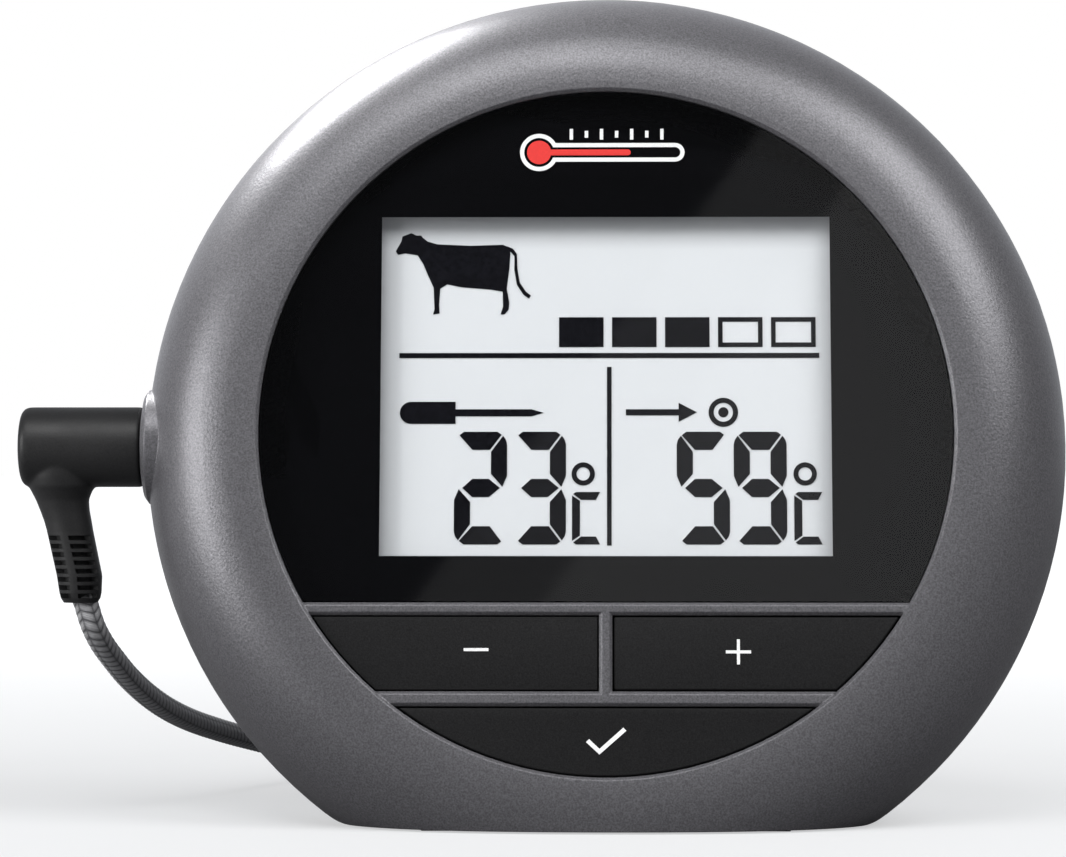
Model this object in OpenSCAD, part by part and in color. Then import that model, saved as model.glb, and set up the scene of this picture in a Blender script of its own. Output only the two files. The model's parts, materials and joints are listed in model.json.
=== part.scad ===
// Free-standing barbecue thermometer with a leaning round display, three buttons and a plug-in meat probe.
// Millimetres, +Z up, front towards -Y, origin on the resting plane under the middle of the housing.

/* [Housing] */
// Outer radius of the ring-shaped housing
ring_r = 46; // [45.5:0.5:47]
// Radius of the round face opening
face_r = 34; // [33.8:0.1:34.2]
// Radius of the rounded front edge
front_round = 11; // [10.5:0.5:11]
// Radius of the rounded rear edge
rear_round = 13; // [12.5:0.5:13]
// Wall thickness of both shells
wall = 2; // [1.8:0.1:2.2]
// Angle that the face leans back from upright
lean = 9; // [7:0.5:11]
// Height of the ring's centre above the resting plane
mid_z = 37.35; // [37:0.05:37.8]
// Distance of the parting line behind the ring's widest plane
parting_depth = 7; // [6.8:0.1:7.5]

/* [Face] */
// Height of the window's straight lower edge above the face centre
window_edge = -17; // [-17.1:0.05:-16.9]
// Width of the bar under the window
upper_bar_w = 1.25; // [1.2:0.05:1.4]
// Width of the bar between the minus and plus buttons
middle_bar_w = 1.3; // [1.2:0.05:1.4]
// Width of the bar above the set button
lower_bar_w = 1.45; // [1.3:0.05:1.5]
// Height of the minus and plus buttons' row
row_h = 7.4; // [7.3:0.1:7.5]
// Width of the visible part of the display
view_w = 44.3; // [44:0.1:44.4]
// Height of the visible part of the display
view_h = 33.9; // [33.6:0.1:34]
// Height of the display's centre above the face centre
view_mid = 4.7; // [4.6:0.05:4.8]
// Gap around each button
button_gap = 0.15; // [0.12:0.01:0.2]
// How far a button travels when it is pressed
button_travel = 0.5; // [0.3:0.05:0.5]

/* [Lead and probe] */
// Diameter of the braided lead
lead_d = 2.5; // [2.3:0.1:2.6]
// Diameter of the plug's moulded barrel
plug_d = 8; // [7.8:0.1:8.2]
// Diameter of the probe's needle
probe_d = 4; // [3.8:0.1:4]
// Length of the probe's straight needle
probe_len = 120; // [110:1:120]

/* [Hidden] */

$fn = 96;
eps = 0.01;
far = 120;

// Places on the housing. Heights along the face are v, depths towards the viewer are w, both from the ring's centre.
mid_y = -1.85;
rear_straight = 2;
back_w = -(rear_straight + rear_round);
foot_lift = 0.2;
pad_t = 0.8;
pad_gap = 0.05;
corner_r = 4.3;
floor_v = -mid_z / cos(lean);

// Rows and bars of the face
row_top = window_edge - upper_bar_w;
row_bottom = row_top - row_h;
set_top = row_bottom - lower_bar_w;
bar_low = 8.3;
bar_high = 10.7;
bar_chamfer = 0.3;
rim_overlap = 1.2;
collar_low = 8.3;
collar_high = 9.5;

// Window, its ledge and the display behind it
ledge_r = 31.6;
ledge_low = 7.6;
ledge_w = 1.2;
window_low = 8.9;
window_high = 10.4;
window_gap = 0.1;
mask_t = 0.1;
glass_low = 5;
glass_high = 7.4;
glass_half = 23.6;
glass_bottom = -14.4;
glass_top = 23;
frame_half = 25;
frame_bottom = -16.2;
frame_top = 24.3;
guide_low = 2.9;
guide_high = 4.9;
guide_bottom = -12;

// Figures of the display: level strokes are a little thicker than upright ones
figure_w = 5.2;
figure_h = 11.2;
figure_stroke = 1.58;
level_extra = 0.22;

// Main board, behind the display and round the battery bay
board_r = 35;
board_low = 0.5;
board_high = 2.1;
board_screw_spots = [[31.4, 9.5], [-31.4, 9.5], [30.2, -12.4], [-30.2, -12.4]];
buzzer_spot = [14, 23];
shell_screw_r = 38.5;
shell_screw_low = -9.7;
post_end = -parting_depth + 0.1;

// Buttons
cap_high = 10.4;
cap_low = 8;
flange_low = 7.2;
flange_out = 0.55;
stem_r = 2.2;
plunger_r = 1.7;
plunger_low = 4.7;
plunger_high = 6.5;
switch_size = 6;
switch_high = 5.6;
minus_spot = [-12.5, -21.9];
plus_spot = [12.8, -21.9];
set_spot = [0, -30.2];

// Battery bay: two AAA cells side by side
cell_r = 5.25;
cell_len = 44.5;
cell_spread = 5.4;
cell_w = -8;
nub_r = 1.9;
nub_len = 1.2;
bay_half = 24.6;
bay_v = 11.1;
bay_floor = -2.6;
bay_wall = 1.2;
rebate_w = -13.3;
flange_w = -12;
flange_half = 29.5;
flange_v = 15.5;
door_half = 27;
door_v = 13.2;
door_t = 1.5;
door_gap = 0.25;
hinge_v = -door_v + door_t;
hinge_w = back_w + door_t;
bead_r = 0.8;
bead_len = 1.2;
contact_t = 0.3;
contact_face = bay_half - 2 * contact_t;

// Jack plug, along X through the ring's centre
boss_x = -46.4;
boss_r = 5.75;
boss_len = 3.7;
boss_face_r = 4.2;
boss_edge_r = 5.2;
ferrule_r = 2.4;
socket_bore = 1.3;
sleeve_r = 1.25;
socket_front = -42.5;
socket_back = -31.5;
socket_half = 3;
plug_x = boss_x - 0.1;
barrel_len = 12.3;
arm_end = [-52.3, mid_y, 21.7];
arm_top = [-54.9, mid_y, mid_z - 2];
arm_neck = [-54.3, mid_y, mid_z - 7.3];
arm_waist = [-53, mid_y, mid_z - 12.9];

// The lead's route, from the plug's arm to the coil, and from the coil to the probe
coil_mid = [-11, 51];
coil_pitch = 2.6;
coil_columns = 3;
coil_layers = 4;
coil_r = 13;
tie_t = 0.4;
tie_w = 4;
lead_in = [
  arm_end, [-51.65, -1.3, 19.4], [-50.9, 0.6, 17.4], [-50.0, 3.2, 15.6], [-49.1, 6.2, 13.9],
  [-47.9, 10, 12.1], [-46.6, 14.2, 10.5], [-45.3, 18.6, 9.2], [-43.9, 23, 8.1], [-42.3, 27.6, 7.1],
  [-40.7, 32, 6.2], [-38.9, 36.6, 5.3], [-36.9, 41, 4.4], [-34.4, 45.9, 3.5], [-31.7, 50.4, 2.7],
  [-28.7, 54.8, 2.1], [-25.4, 58.7, 1.7], [-21.8, 62.2, 1.65]
];
lead_out = [
  [4.6, 51, 9.45], [4.7, 48.5, 9.45], [4.8, 46, 9.3], [4.9, 43.4, 8.8], [5.1, 40.8, 7.9],
  [5.5, 38.2, 6.7], [6.2, 35.7, 5.4], [7.4, 33.4, 4.2], [9.2, 31.5, 3.2], [11.4, 30.4, 2.5],
  [13.8, 30, 2.1], [16.2, 30, 2], [18.5, 30, 2]
];
probe_z = probe_d / 2;
spring_start = [12, 30, probe_z];
spring_len = 6.2;
crimp_x = 18.5;
crimp_len = 5.5;
bend_r = 5;
needle_x = crimp_x + crimp_len + bend_r;
needle_y = 30 + bend_r;

// Colours
dark_grey = [0.33, 0.33, 0.35];
charcoal = [0.13, 0.13, 0.14];
gloss_black = [0.03, 0.03, 0.03];
screen_white = [0.9, 0.91, 0.92];
board_green = [0.08, 0.3, 0.17];
steel = [0.75, 0.76, 0.78];
brass = [0.78, 0.62, 0.3];
braid_grey = [0.45, 0.45, 0.46];

// Turns the face's own axes into the part's axes: x across, y up the face, z out of the face.
module on_face() {
  translate([0, mid_y, mid_z]) rotate([90 - lean, 0, 0]) children();
}

// A slab of the face's own space between two depths
module face_slab(low, high) {
  translate([-far / 2, -far / 2, low]) cube([far, far, high - low]);
}

// Half section of the housing, inset from the outside
module shell_section(inset) {
  front_r = front_round - inset;
  rear_r = rear_round - inset;
  intersection() {
    translate([ring_r - front_round, 0]) circle(r = front_r);
    translate([ring_r - front_round, 0]) square(front_r + 1);
  }
  square([ring_r - front_round, front_r]);
  translate([0, -rear_straight]) square([ring_r - inset, rear_straight]);
  intersection() {
    translate([ring_r - rear_round, -rear_straight]) circle(r = rear_r);
    translate([ring_r - rear_round, -rear_straight - rear_r - 1]) square(rear_r + 1);
  }
  translate([0, -rear_straight - rear_r]) square([ring_r - rear_round, rear_r]);
}

// The housing's outer form or its cavity, cut flat at the foot
module shell_form(inset) {
  intersection() {
    on_face() rotate_extrude() shell_section(inset);
    translate([-far / 2, -far / 2, foot_lift + inset]) cube(far);
  }
}

// Rounds the two corners where the ring meets the foot, between the arc's ends on the foot and on the ring
module foot_corners() {
  corner_v = floor_v + foot_lift + corner_r;
  corner_x = sqrt(pow(ring_r - corner_r, 2) - pow(corner_v, 2));
  away = [corner_x, corner_v] / norm([corner_x, corner_v]);
  reach = 2 * corner_r;
  for (side = [0, 1]) {
    mirror([side, 0, 0]) translate([corner_x, 0, foot_lift + corner_r]) rotate([90, 0, 0])
      linear_extrude(far, center = true) difference() {
        polygon([[0, 0], [0, -reach], [away[0], -1] * reach, away * reach]);
        circle(r = corner_r);
      }
  }
}

// The part of the face opening above a given height
module face_above(radius, height) {
  intersection() {
    circle(r = radius);
    translate([-far / 2, height]) square([far, far]);
  }
}

// Two rubber pads let into the foot, or their pockets, grown all round
module foot_pad_block(half, y_low, y_high, grow) {
  translate([-half - grow, y_low - grow, -grow])
    cube([2 * (half + grow), y_high - y_low + 2 * grow, pad_t + 2 * grow]);
}

module foot_pad_blocks(grow) {
  foot_pad_block(18, -14.5, -2.6, grow);
  foot_pad_block(12, 1, 5.6, grow);
}

// A bar of the face, along x, with chamfered top edges
module face_bar(length, width) {
  rotate([90, 0, 90]) linear_extrude(length, center = true) polygon([
    [-width / 2, bar_low], [width / 2, bar_low], [width / 2, bar_high - bar_chamfer],
    [width / 2 - bar_chamfer, bar_high], [-width / 2 + bar_chamfer, bar_high], [-width / 2, bar_high - bar_chamfer]
  ]);
}

module face_bars() {
  intersection() {
    union() {
      translate([0, (window_edge + row_top) / 2]) face_bar(far, upper_bar_w);
      translate([0, (row_bottom + set_top) / 2]) face_bar(far, lower_bar_w);
      translate([0, (row_top + row_bottom) / 2]) rotate(90) face_bar(row_h + 2 * bar_chamfer, middle_bar_w);
    }
    cylinder(r = face_r + 0.5, h = far);
  }
}

// Ledge that carries the window, and the collar that joins it to the ring
module window_ledge() {
  translate([0, 0, ledge_low]) linear_extrude(window_low - mask_t - ledge_low) difference() {
    face_above(face_r + rim_overlap, window_edge);
    face_above(ledge_r, window_edge + ledge_w);
  }
  translate([0, 0, collar_low]) difference() {
    cylinder(r = face_r + rim_overlap, h = collar_high - collar_low);
    translate([0, 0, -eps]) cylinder(r = face_r, h = far);
  }
}

module shell_posts() {
  for (turn = [45:90:315]) {
    rotate(turn) translate([shell_screw_r, 0, post_end]) cylinder(r = 2.8, h = 9 - post_end);
  }
}

module board_posts() {
  for (spot = board_screw_spots) {
    translate([spot[0], spot[1], board_high]) cylinder(r = 2, h = ledge_low + eps - board_high);
  }
}

// Narrow groove round the ring where the two shells meet
module seam_groove() {
  seam_w = 0.25;
  seam_r = ring_r - rear_round + sqrt(pow(rear_round, 2) - pow(parting_depth - rear_straight, 2)) - seam_w;
  translate([0, 0, -parting_depth - eps]) difference() {
    cylinder(r = far, h = seam_w);
    translate([0, 0, -1]) cylinder(r = seam_r, h = 2 + seam_w);
  }
}

// Front shell: the ring, its cross bars, the jack boss and the posts inside
module front_bezel() {
  color(dark_grey) difference() {
    union() {
      difference() {
        shell_form(0);
        shell_form(wall);
        on_face() translate([0, 0, 1]) cylinder(r = face_r, h = far);
        on_face() translate([0, 0, bar_high]) cylinder(r1 = face_r, r2 = face_r + 0.6, h = 0.6);
      }
      on_face() window_ledge();
      on_face() face_bars();
      on_face() shell_posts();
      on_face() board_posts();
      on_face() translate([boss_x, 0, 0]) rotate([0, 90, 0]) {
        rotate_extrude() polygon([
          [0, 0], [boss_face_r, 0], [boss_edge_r, 0.2], [boss_r, 0.6], [boss_r + 0.25, boss_len], [0, boss_len]
        ]);
      }
    }
    on_face() face_slab(-far, -parting_depth);
    on_face() seam_groove();
    foot_corners();
    foot_pad_blocks(pad_gap);
    on_face() translate([boss_x - 1, 0, 0]) rotate([0, 90, 0]) cylinder(r = ferrule_r, h = 8);
    on_face() for (turn = [45:90:315]) {
      rotate(turn) translate([shell_screw_r, 0, post_end - 1]) cylinder(r = 1.15, h = 8);
    }
    on_face() for (spot = board_screw_spots) {
      translate([spot[0], spot[1], board_high - 1]) cylinder(r = 0.9, h = 4);
    }
  }
}

// Plan of the battery bay, grown by a margin
module bay_block(margin, low, high) {
  translate([-bay_half - margin, -bay_v - margin, low])
    cube([2 * (bay_half + margin), 2 * (bay_v + margin), high - low]);
}

module screw_wells() {
  for (turn = [45:90:315]) {
    rotate(turn) translate([shell_screw_r, 0, 0]) children();
  }
}

// Rear shell with the battery bay, the screw wells and a lip that centres it in the front shell
module rear_housing() {
  lip_r = 42.6;
  lip_t = 1.2;
  color(dark_grey) difference() {
    union() {
      difference() {
        intersection() {
          shell_form(0);
          on_face() face_slab(-far, -parting_depth);
        }
        shell_form(wall);
      }
      intersection() {
        on_face() translate([0, 0, -9.5]) difference() {
          cylinder(r = lip_r, h = 4);
          translate([0, 0, -1]) cylinder(r = lip_r - lip_t, h = 6);
        }
        translate([-far / 2, -far / 2, foot_lift + wall + 0.2]) cube(far);
      }
      on_face() bay_block(bay_wall, rebate_w, bay_floor + bay_wall);
      on_face() translate([-flange_half, -flange_v, rebate_w])
        cube([2 * flange_half, 2 * flange_v, flange_w - rebate_w]);
      intersection() {
        shell_form(wall / 2);
        on_face() screw_wells() translate([0, 0, back_w]) cylinder(r = 3.9, h = -parting_depth - back_w);
      }
    }
    on_face() bay_block(0, rebate_w - 3, bay_floor);
    on_face() translate([-door_half - door_gap, -door_v - door_gap, back_w - 1])
      cube([2 * (door_half + door_gap), 2 * (door_v + door_gap), rebate_w - back_w + 1]);
    on_face() translate([0, hinge_v, hinge_w]) rotate([0, 90, 0])
      cylinder(r = door_t + door_gap, h = 2 * (door_half + door_gap), center = true);
    on_face() translate([0, hinge_v, hinge_w]) rotate([0, 90, 0])
      cylinder(r = bead_r + 0.07, h = 2 * (door_half + bead_len + door_gap), center = true);
    on_face() translate([0, door_v, back_w - 1]) cylinder(r = 6, h = 2);
    on_face() screw_wells() translate([0, 0, back_w - 1]) cylinder(r = 2.6, h = shell_screw_low - back_w + 1);
    on_face() screw_wells() translate([0, 0, back_w]) cylinder(r = 1.35, h = 10);
    on_face() for (turn = [0:60:300]) {
      translate([buzzer_spot[0], buzzer_spot[1], back_w - 1]) rotate(turn) translate([2.4, 0]) cylinder(r = 0.6, h = 4);
    }
    on_face() translate([buzzer_spot[0], buzzer_spot[1], back_w - 1]) cylinder(r = 0.6, h = 4);
    on_face() for (side = [-1, 1]) {
      translate([-bay_half - 0.1, side * cell_spread - 1.2, bay_floor - 1]) cube([0.7, 2.4, 4]);
    }
    foot_corners();
    foot_pad_blocks(pad_gap);
  }
}

module foot_pads() {
  color(charcoal) foot_pad_blocks(0);
}

// Four self-tapping screws that hold the shells together
module housing_screws() {
  color(steel) on_face() screw_wells() translate([0, 0, shell_screw_low]) {
    cylinder(r = 1.15, h = 9.5);
    translate([0, 0, -1.5]) difference() {
      cylinder(r1 = 1.7, r2 = 2.3, h = 1.5);
      for (turn = [0, 90]) {
        rotate(turn) translate([-1.3, -0.25, -eps]) cube([2.6, 0.5, 0.8]);
      }
    }
  }
}

module display_window() {
  color(gloss_black) on_face() translate([0, 0, window_low]) linear_extrude(window_high - window_low)
    face_above(face_r - window_gap, window_edge + window_gap);
}

// Black printed border on the back of the window
module window_mask() {
  color(gloss_black) on_face() translate([0, 0, window_low - mask_t]) linear_extrude(mask_t) difference() {
    face_above(face_r - window_gap, window_edge + window_gap);
    translate([0, view_mid]) square([view_w, view_h], center = true);
  }
}

module lcd_panel() {
  color(screen_white) on_face() translate([-glass_half, glass_bottom, glass_low])
    cube([2 * glass_half, glass_top - glass_bottom, glass_high - glass_low]);
}

// Mirrors its children in the line where x is a given value
module mirror_across(x) {
  translate([2 * x, 0]) mirror([1, 0]) children();
}

// Mirrors its children in the line where y is a given value
module mirror_up(y) {
  translate([0, 2 * y]) mirror([0, 1]) children();
}

// The three kinds of segment in a figure: the top one, the upper right one and the middle one
module top_segment(wide, high, stroke) {
  low = high - stroke - level_extra;
  polygon([
    [0.5, high - 0.35], [0.95, high], [wide - 0.95, high], [wide - 0.55, high - 0.3],
    [wide - stroke - 0.1, low], [stroke + 0.2, low]
  ]);
}

module side_segment(wide, high, stroke) {
  polygon([
    [wide - 0.4, high - 0.4], [wide - 0.12, high - 0.8], [wide, high - 1.25], [wide, high / 2 + 1.2],
    [wide - 0.45, high / 2 + 0.12], [wide - stroke, high / 2 + 1.4],
    [wide - stroke, high - stroke - level_extra - 0.2]
  ]);
}

module middle_segment(wide, high, stroke) {
  half = (stroke + level_extra) / 2;
  polygon([
    [0.8, high / 2], [stroke + 0.2, high / 2 + half], [wide - stroke - 0.2, high / 2 + half],
    [wide - 0.7, high / 2], [wide - stroke - 0.2, high / 2 - half], [stroke + 0.2, high / 2 - half]
  ]);
}

// A seven-segment figure. lit holds 1 for each lit segment, from a, the top one, to g, the middle one.
module figure(lit, wide, high, stroke) {
  if (lit[0] == 1) top_segment(wide, high, stroke);
  if (lit[1] == 1) side_segment(wide, high, stroke);
  if (lit[2] == 1) mirror_up(high / 2) side_segment(wide, high, stroke);
  if (lit[3] == 1) mirror_up(high / 2) top_segment(wide, high, stroke);
  if (lit[4] == 1) mirror_across(wide / 2) mirror_up(high / 2) side_segment(wide, high, stroke);
  if (lit[5] == 1) mirror_across(wide / 2) side_segment(wide, high, stroke);
  if (lit[6] == 1) middle_segment(wide, high, stroke);
}

// Lower stroke of the small letter c
module c_foot(wide, stroke) {
  polygon([[0.12, 0.2], [0.4, 0], [wide, 0], [wide - 0.4, stroke], [stroke + 0.1, stroke]]);
}

// Degree ring over a small letter c in three strokes
module degree_c() {
  c_w = 2.75;
  c_h = 5.2;
  stroke = 0.78;
  translate([1.1, 7]) difference() {
    circle(r = 1.15);
    circle(r = 0.66);
  }
  polygon([[0, 0.35], [0, c_h - 0.35], [stroke, c_h - stroke - 0.1], [stroke, stroke + 0.1]]);
  c_foot(c_w, stroke);
  mirror_up(c_h / 2) c_foot(c_w, stroke);
}

// Side view of a cow that faces left, 13.5 wide and 8.3 high: body, head, legs and tail
module cow_shape() {
  polygon([
    [2.4, 8.05], [3.2, 7.4], [4.2, 7.1], [7.5, 6.95], [10.7, 7.05], [11.3, 6.8], [11.45, 6.2], [11.35, 4.6],
    [11.1, 2.6], [11.35, 1.2], [11.3, 0.5], [10.9, 0], [10.5, 0], [10.75, 0.8], [10.7, 2.3], [9.6, 2.5],
    [8.4, 2.6], [6.6, 2.75], [5.2, 3.05], [4.5, 2.6], [4.4, 1], [4.45, 0.1], [3.8, 0], [3.95, 0.5], [3.85, 2.7],
    [3.3, 3.9], [2.8, 5.1], [2.1, 6.2]
  ]);
  polygon([
    [0.05, 6.4], [0.3, 6.05], [1, 6.2], [2.2, 6], [3, 7], [2.6, 8], [2.1, 8], [1.6, 8.25], [1.2, 8.1], [0.7, 7.9],
    [0.6, 7.4]
  ]);
  polygon([
    [11.1, 6.9], [11.7, 6.65], [12.1, 6.1], [12.15, 4.6], [12.4, 3.2], [13, 2.3], [13.5, 1.9], [13.3, 1.6],
    [12.75, 2], [12.1, 3], [11.85, 4.5], [11.85, 5.9], [11.5, 6.3], [11.1, 6.5]
  ]);
}

// A scale of five blocks, the first three filled
module doneness_scale() {
  block_w = 4.4;
  for (i = [0:4]) {
    translate([i * 5.24, 0]) difference() {
      square([block_w, 3]);
      if (i > 2) {
        translate([0.45, 0.45]) square([block_w - 0.9, 2.1]);
      }
    }
  }
}

// A probe lying on its side: handle and needle
module probe_sign() {
  translate([1.1, 1.1]) circle(r = 1.1);
  translate([1.1, 0]) square([4.4, 2.2]);
  translate([5.5, 0.75]) square([7.5, 0.7]);
  translate([13, 1.1]) polygon([[0, 0.35], [1.2, 0], [0, -0.35]]);
}

// A target: two rings and a dot, with an arrow that points at it
module target_sign() {
  translate([0, 0.85]) square([5.2, 0.6]);
  translate([5.2, 1.15]) polygon([[0, 0.95], [1.8, 0], [0, -0.95]]);
  translate([9.6, 1.15]) difference() {
    circle(r = 1.45);
    circle(r = 0.95);
  }
  translate([9.6, 1.15]) circle(r = 0.5);
}

// Everything that the display shows, as thin dark areas on its glass
module lcd_segments() {
  two = [1, 1, 0, 1, 1, 0, 1];
  three = [1, 1, 1, 1, 0, 0, 1];
  five = [1, 0, 1, 1, 0, 1, 1];
  nine = [1, 1, 1, 1, 0, 1, 1];
  digit_spots = [[-14.9, two], [-9.1, three], [7, five], [12.6, nine]];
  color("black") on_face() translate([0, 0, glass_high]) linear_extrude(0.06) {
    for (digit = digit_spots) {
      translate([digit[0], -10.9]) figure(digit[1], figure_w, figure_h, figure_stroke);
    }
    translate([-3.3, -10.9]) degree_c();
    translate([18.5, -10.9]) degree_c();
    translate([-20.4, 7.7]) square([41.5, 0.5]);
    translate([0.14, -11]) square([0.45, 17.8]);
    translate([-20.9, 12.1]) cow_shape();
    translate([-4.6, 8.8]) doneness_scale();
    translate([-20.3, 1.1]) probe_sign();
    translate([2, 1.1]) target_sign();
  }
}

// Frame that holds the display glass and the light guide on the board
module lcd_frame() {
  color(screen_white) on_face() difference() {
    translate([-frame_half, frame_bottom, board_high])
      cube([2 * frame_half, frame_top - frame_bottom, glass_high - board_high]);
    translate([-glass_half - 0.1, glass_bottom - 0.1, board_high - 1])
      cube([2 * glass_half + 0.2, glass_top - glass_bottom + 0.2, far]);
  }
}

module light_guide() {
  color("white") on_face() translate([-glass_half + 2.6, guide_bottom, guide_low])
    cube([2 * glass_half - 2.7, glass_top - guide_bottom, guide_high - guide_low]);
}

// Side-firing lamp at the left edge of the light guide
module backlight_led() {
  color("white") on_face() translate([-glass_half + 0.2, view_mid - 4, board_high]) cube([2.2, 8, 2.6]);
}

// Elastic connector between the board and the display glass
module zebra_strip() {
  color(charcoal) on_face() translate([-22, glass_bottom + 0.1, board_high]) cube([44, 1.8, glass_low - board_high]);
}

// Outline of a button: the part of the face opening between given limits, grown by a margin
module button_outline(left, right, low, high, grow) {
  intersection() {
    circle(r = face_r - button_gap + grow);
    translate([left - grow, low - grow]) square([right - left + 2 * grow, high - low + 2 * grow]);
  }
}

// A button's cap with its flange behind the bars and its stem
module button(left, right, low, high, spot) {
  on_face() {
    translate([0, 0, cap_low]) linear_extrude(cap_high - cap_low) button_outline(left, right, low, high, 0);
    translate([0, 0, flange_low]) linear_extrude(cap_low - flange_low)
      button_outline(left, right, low, high, flange_out);
    translate([spot[0], spot[1], plunger_high]) cylinder(r = stem_r, h = flange_low - plunger_high);
  }
}

module minus_button() {
  color(charcoal) button(-face_r, -middle_bar_w / 2 - button_gap, row_bottom + button_gap, row_top - button_gap,
    minus_spot);
}

module plus_button() {
  color(charcoal) button(middle_bar_w / 2 + button_gap, face_r, row_bottom + button_gap, row_top - button_gap,
    plus_spot);
}

module set_button() {
  color(charcoal) button(-face_r, face_r, -face_r, set_top - button_gap, set_spot);
}

// Plunger of a push switch, which moves with its button
module plunger(spot) {
  color("white") on_face() translate([spot[0], spot[1], plunger_low])
    cylinder(r = plunger_r, h = plunger_high - plunger_low);
}

module minus_plunger() {
  plunger(minus_spot);
}

module plus_plunger() {
  plunger(plus_spot);
}

module set_plunger() {
  plunger(set_spot);
}

// Three push switches on the board, each with a well for its plunger
module switch_bodies() {
  color(charcoal) on_face() for (spot = [minus_spot, plus_spot, set_spot]) {
    translate([spot[0], spot[1], board_high]) difference() {
      translate([-switch_size / 2, -switch_size / 2, 0]) cube([switch_size, switch_size, switch_high - board_high]);
      translate([0, 0, plunger_low - button_travel - 0.2 - board_high]) cylinder(r = plunger_r + 0.08, h = far);
    }
  }
}

module main_board() {
  color(board_green) on_face() difference() {
    translate([0, 0, board_low]) cylinder(r = board_r, h = board_high - board_low);
    translate([-far, -socket_half - 0.3, board_low - 1]) cube([far + socket_back + 0.3, 2 * socket_half + 0.6, 4]);
    for (spot = board_screw_spots) {
      translate([spot[0], spot[1], board_low - 1]) cylinder(r = 1, h = 4);
    }
  }
}

module board_screws() {
  color(steel) on_face() for (spot = board_screw_spots) {
    translate([spot[0], spot[1], board_low - 1.3]) {
      cylinder(r = 1.8, h = 1.3);
      cylinder(r = 0.9, h = 5.5);
    }
  }
}

// A component on the back of the board
module back_part(spot, size) {
  on_face() translate([spot[0] - size[0] / 2, spot[1] - size[1] / 2, board_low - size[2]]) cube(size);
}

module controller_chip() {
  color(charcoal) back_part([-12, 22], [9, 9, 1.4]);
}

module crystal() {
  color(steel) back_part([-1, 19], [3.2, 8, 2.4]);
}

module capacitors() {
  color(steel) on_face() for (x = [-25, -19]) {
    translate([x, 18, board_low - 5.4]) cylinder(r = 2, h = 5.4);
  }
}

module board_resistors() {
  color(charcoal) for (i = [0:5]) {
    back_part([-10 + 3 * i, -20], [1.6, 0.8, 0.5]);
  }
}

module buzzer() {
  color(charcoal) on_face() translate([buzzer_spot[0], buzzer_spot[1], board_low - 6]) difference() {
    cylinder(r = 6, h = 6);
    translate([0, 0, -eps]) cylinder(r = 1, h = 2);
  }
}

// Socket for the plug: a block in the board's notch with a ferrule through the boss
module jack_socket() {
  color(charcoal) on_face() difference() {
    union() {
      translate([socket_front, -socket_half, -2.5]) cube([socket_back - socket_front, 2 * socket_half, 5]);
      translate([boss_x + 0.3, 0, 0]) rotate([0, 90, 0]) cylinder(r = ferrule_r, h = socket_front - boss_x);
    }
    translate([boss_x - 1, 0, 0]) rotate([0, 90, 0]) cylinder(r = socket_bore, h = socket_back - boss_x - 0.5);
    for (side = [-1, 1]) {
      translate([-39, side * 2 - 0.5, -1]) cube([5, 1, 2]);
    }
  }
}

// Two spring blades beside the plug's tip
module jack_contacts() {
  color(brass) on_face() for (side = [-1, 1]) {
    translate([-38.8, side * 1.75 - 0.15, -0.8]) cube([4.6, 0.3, 1.6]);
  }
}

// Lid over the cells: a plate whose lower edge is a round barrel with a bead at each end
module battery_door() {
  latch_half = 6;
  color(dark_grey) on_face() {
    difference() {
      union() {
        translate([-door_half, hinge_v, back_w]) cube([2 * door_half, door_v - hinge_v, door_t]);
        translate([0, hinge_v, hinge_w]) rotate([0, 90, 0]) cylinder(r = door_t, h = 2 * door_half, center = true);
      }
      for (side = [-1, 1]) {
        translate([side * latch_half - 0.4, door_v - 6, back_w - 1]) cube([0.8, 7, 4]);
      }
    }
    translate([0, hinge_v, hinge_w]) rotate([0, 90, 0])
      cylinder(r = bead_r, h = 2 * (door_half + bead_len), center = true);
    for (i = [0:3]) {
      translate([-4, door_v - 2 - i * 1.2, back_w - 0.25]) cube([8, 0.5, 0.5]);
    }
  }
}

// An AAA cell along x; way is 1 when its positive end points to +x
module cell(v, way) {
  on_face() translate([0, v, cell_w]) rotate([0, way * 90, 0]) translate([0, 0, -cell_len / 2]) {
    cylinder(r = cell_r, h = cell_len - nub_len);
    cylinder(r = nub_r, h = cell_len);
  }
}

module upper_cell() {
  color(steel) cell(cell_spread, 1);
}

module lower_cell() {
  color(steel) cell(-cell_spread, -1);
}

// Ring of points round a route's point, square to the direction there
function direction(route, i) =
  let (d = route[min(i + 1, len(route) - 1)] - route[max(i - 1, 0)]) d / norm(d);
function side_of(d) = let (s = cross(d, abs(d[2]) > 0.9 ? [0, 1, 0] : [0, 0, 1])) s / norm(s);
function ring_at(route, i, radius, sides) =
  let (d = direction(route, i), s = side_of(d), t = cross(s, d))
  [for (k = [0:sides - 1]) route[i] + radius * (cos(360 * k / sides) * s + sin(360 * k / sides) * t)];

// A tube of a given radius along a route
module tube_along(route, radius, sides) {
  last = len(route) - 1;
  points = [for (i = [0:last]) each ring_at(route, i, radius, sides)];
  walls = [for (i = [0:last - 1]) for (k = [0:sides - 1])
    [i * sides + k, (i + 1) * sides + k, (i + 1) * sides + (k + 1) % sides, i * sides + (k + 1) % sides]];
  polyhedron(points, concat([[for (k = [0:sides - 1]) k]], walls, [[for (k = [sides - 1:-1:0]) last * sides + k]]),
    convexity = 4);
}

// A helix along z
function helix(radius, length, turns, steps) =
  [for (i = [0:steps]) [radius * cos(360 * turns * i / steps), radius * sin(360 * turns * i / steps),
    length * i / steps]];

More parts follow.
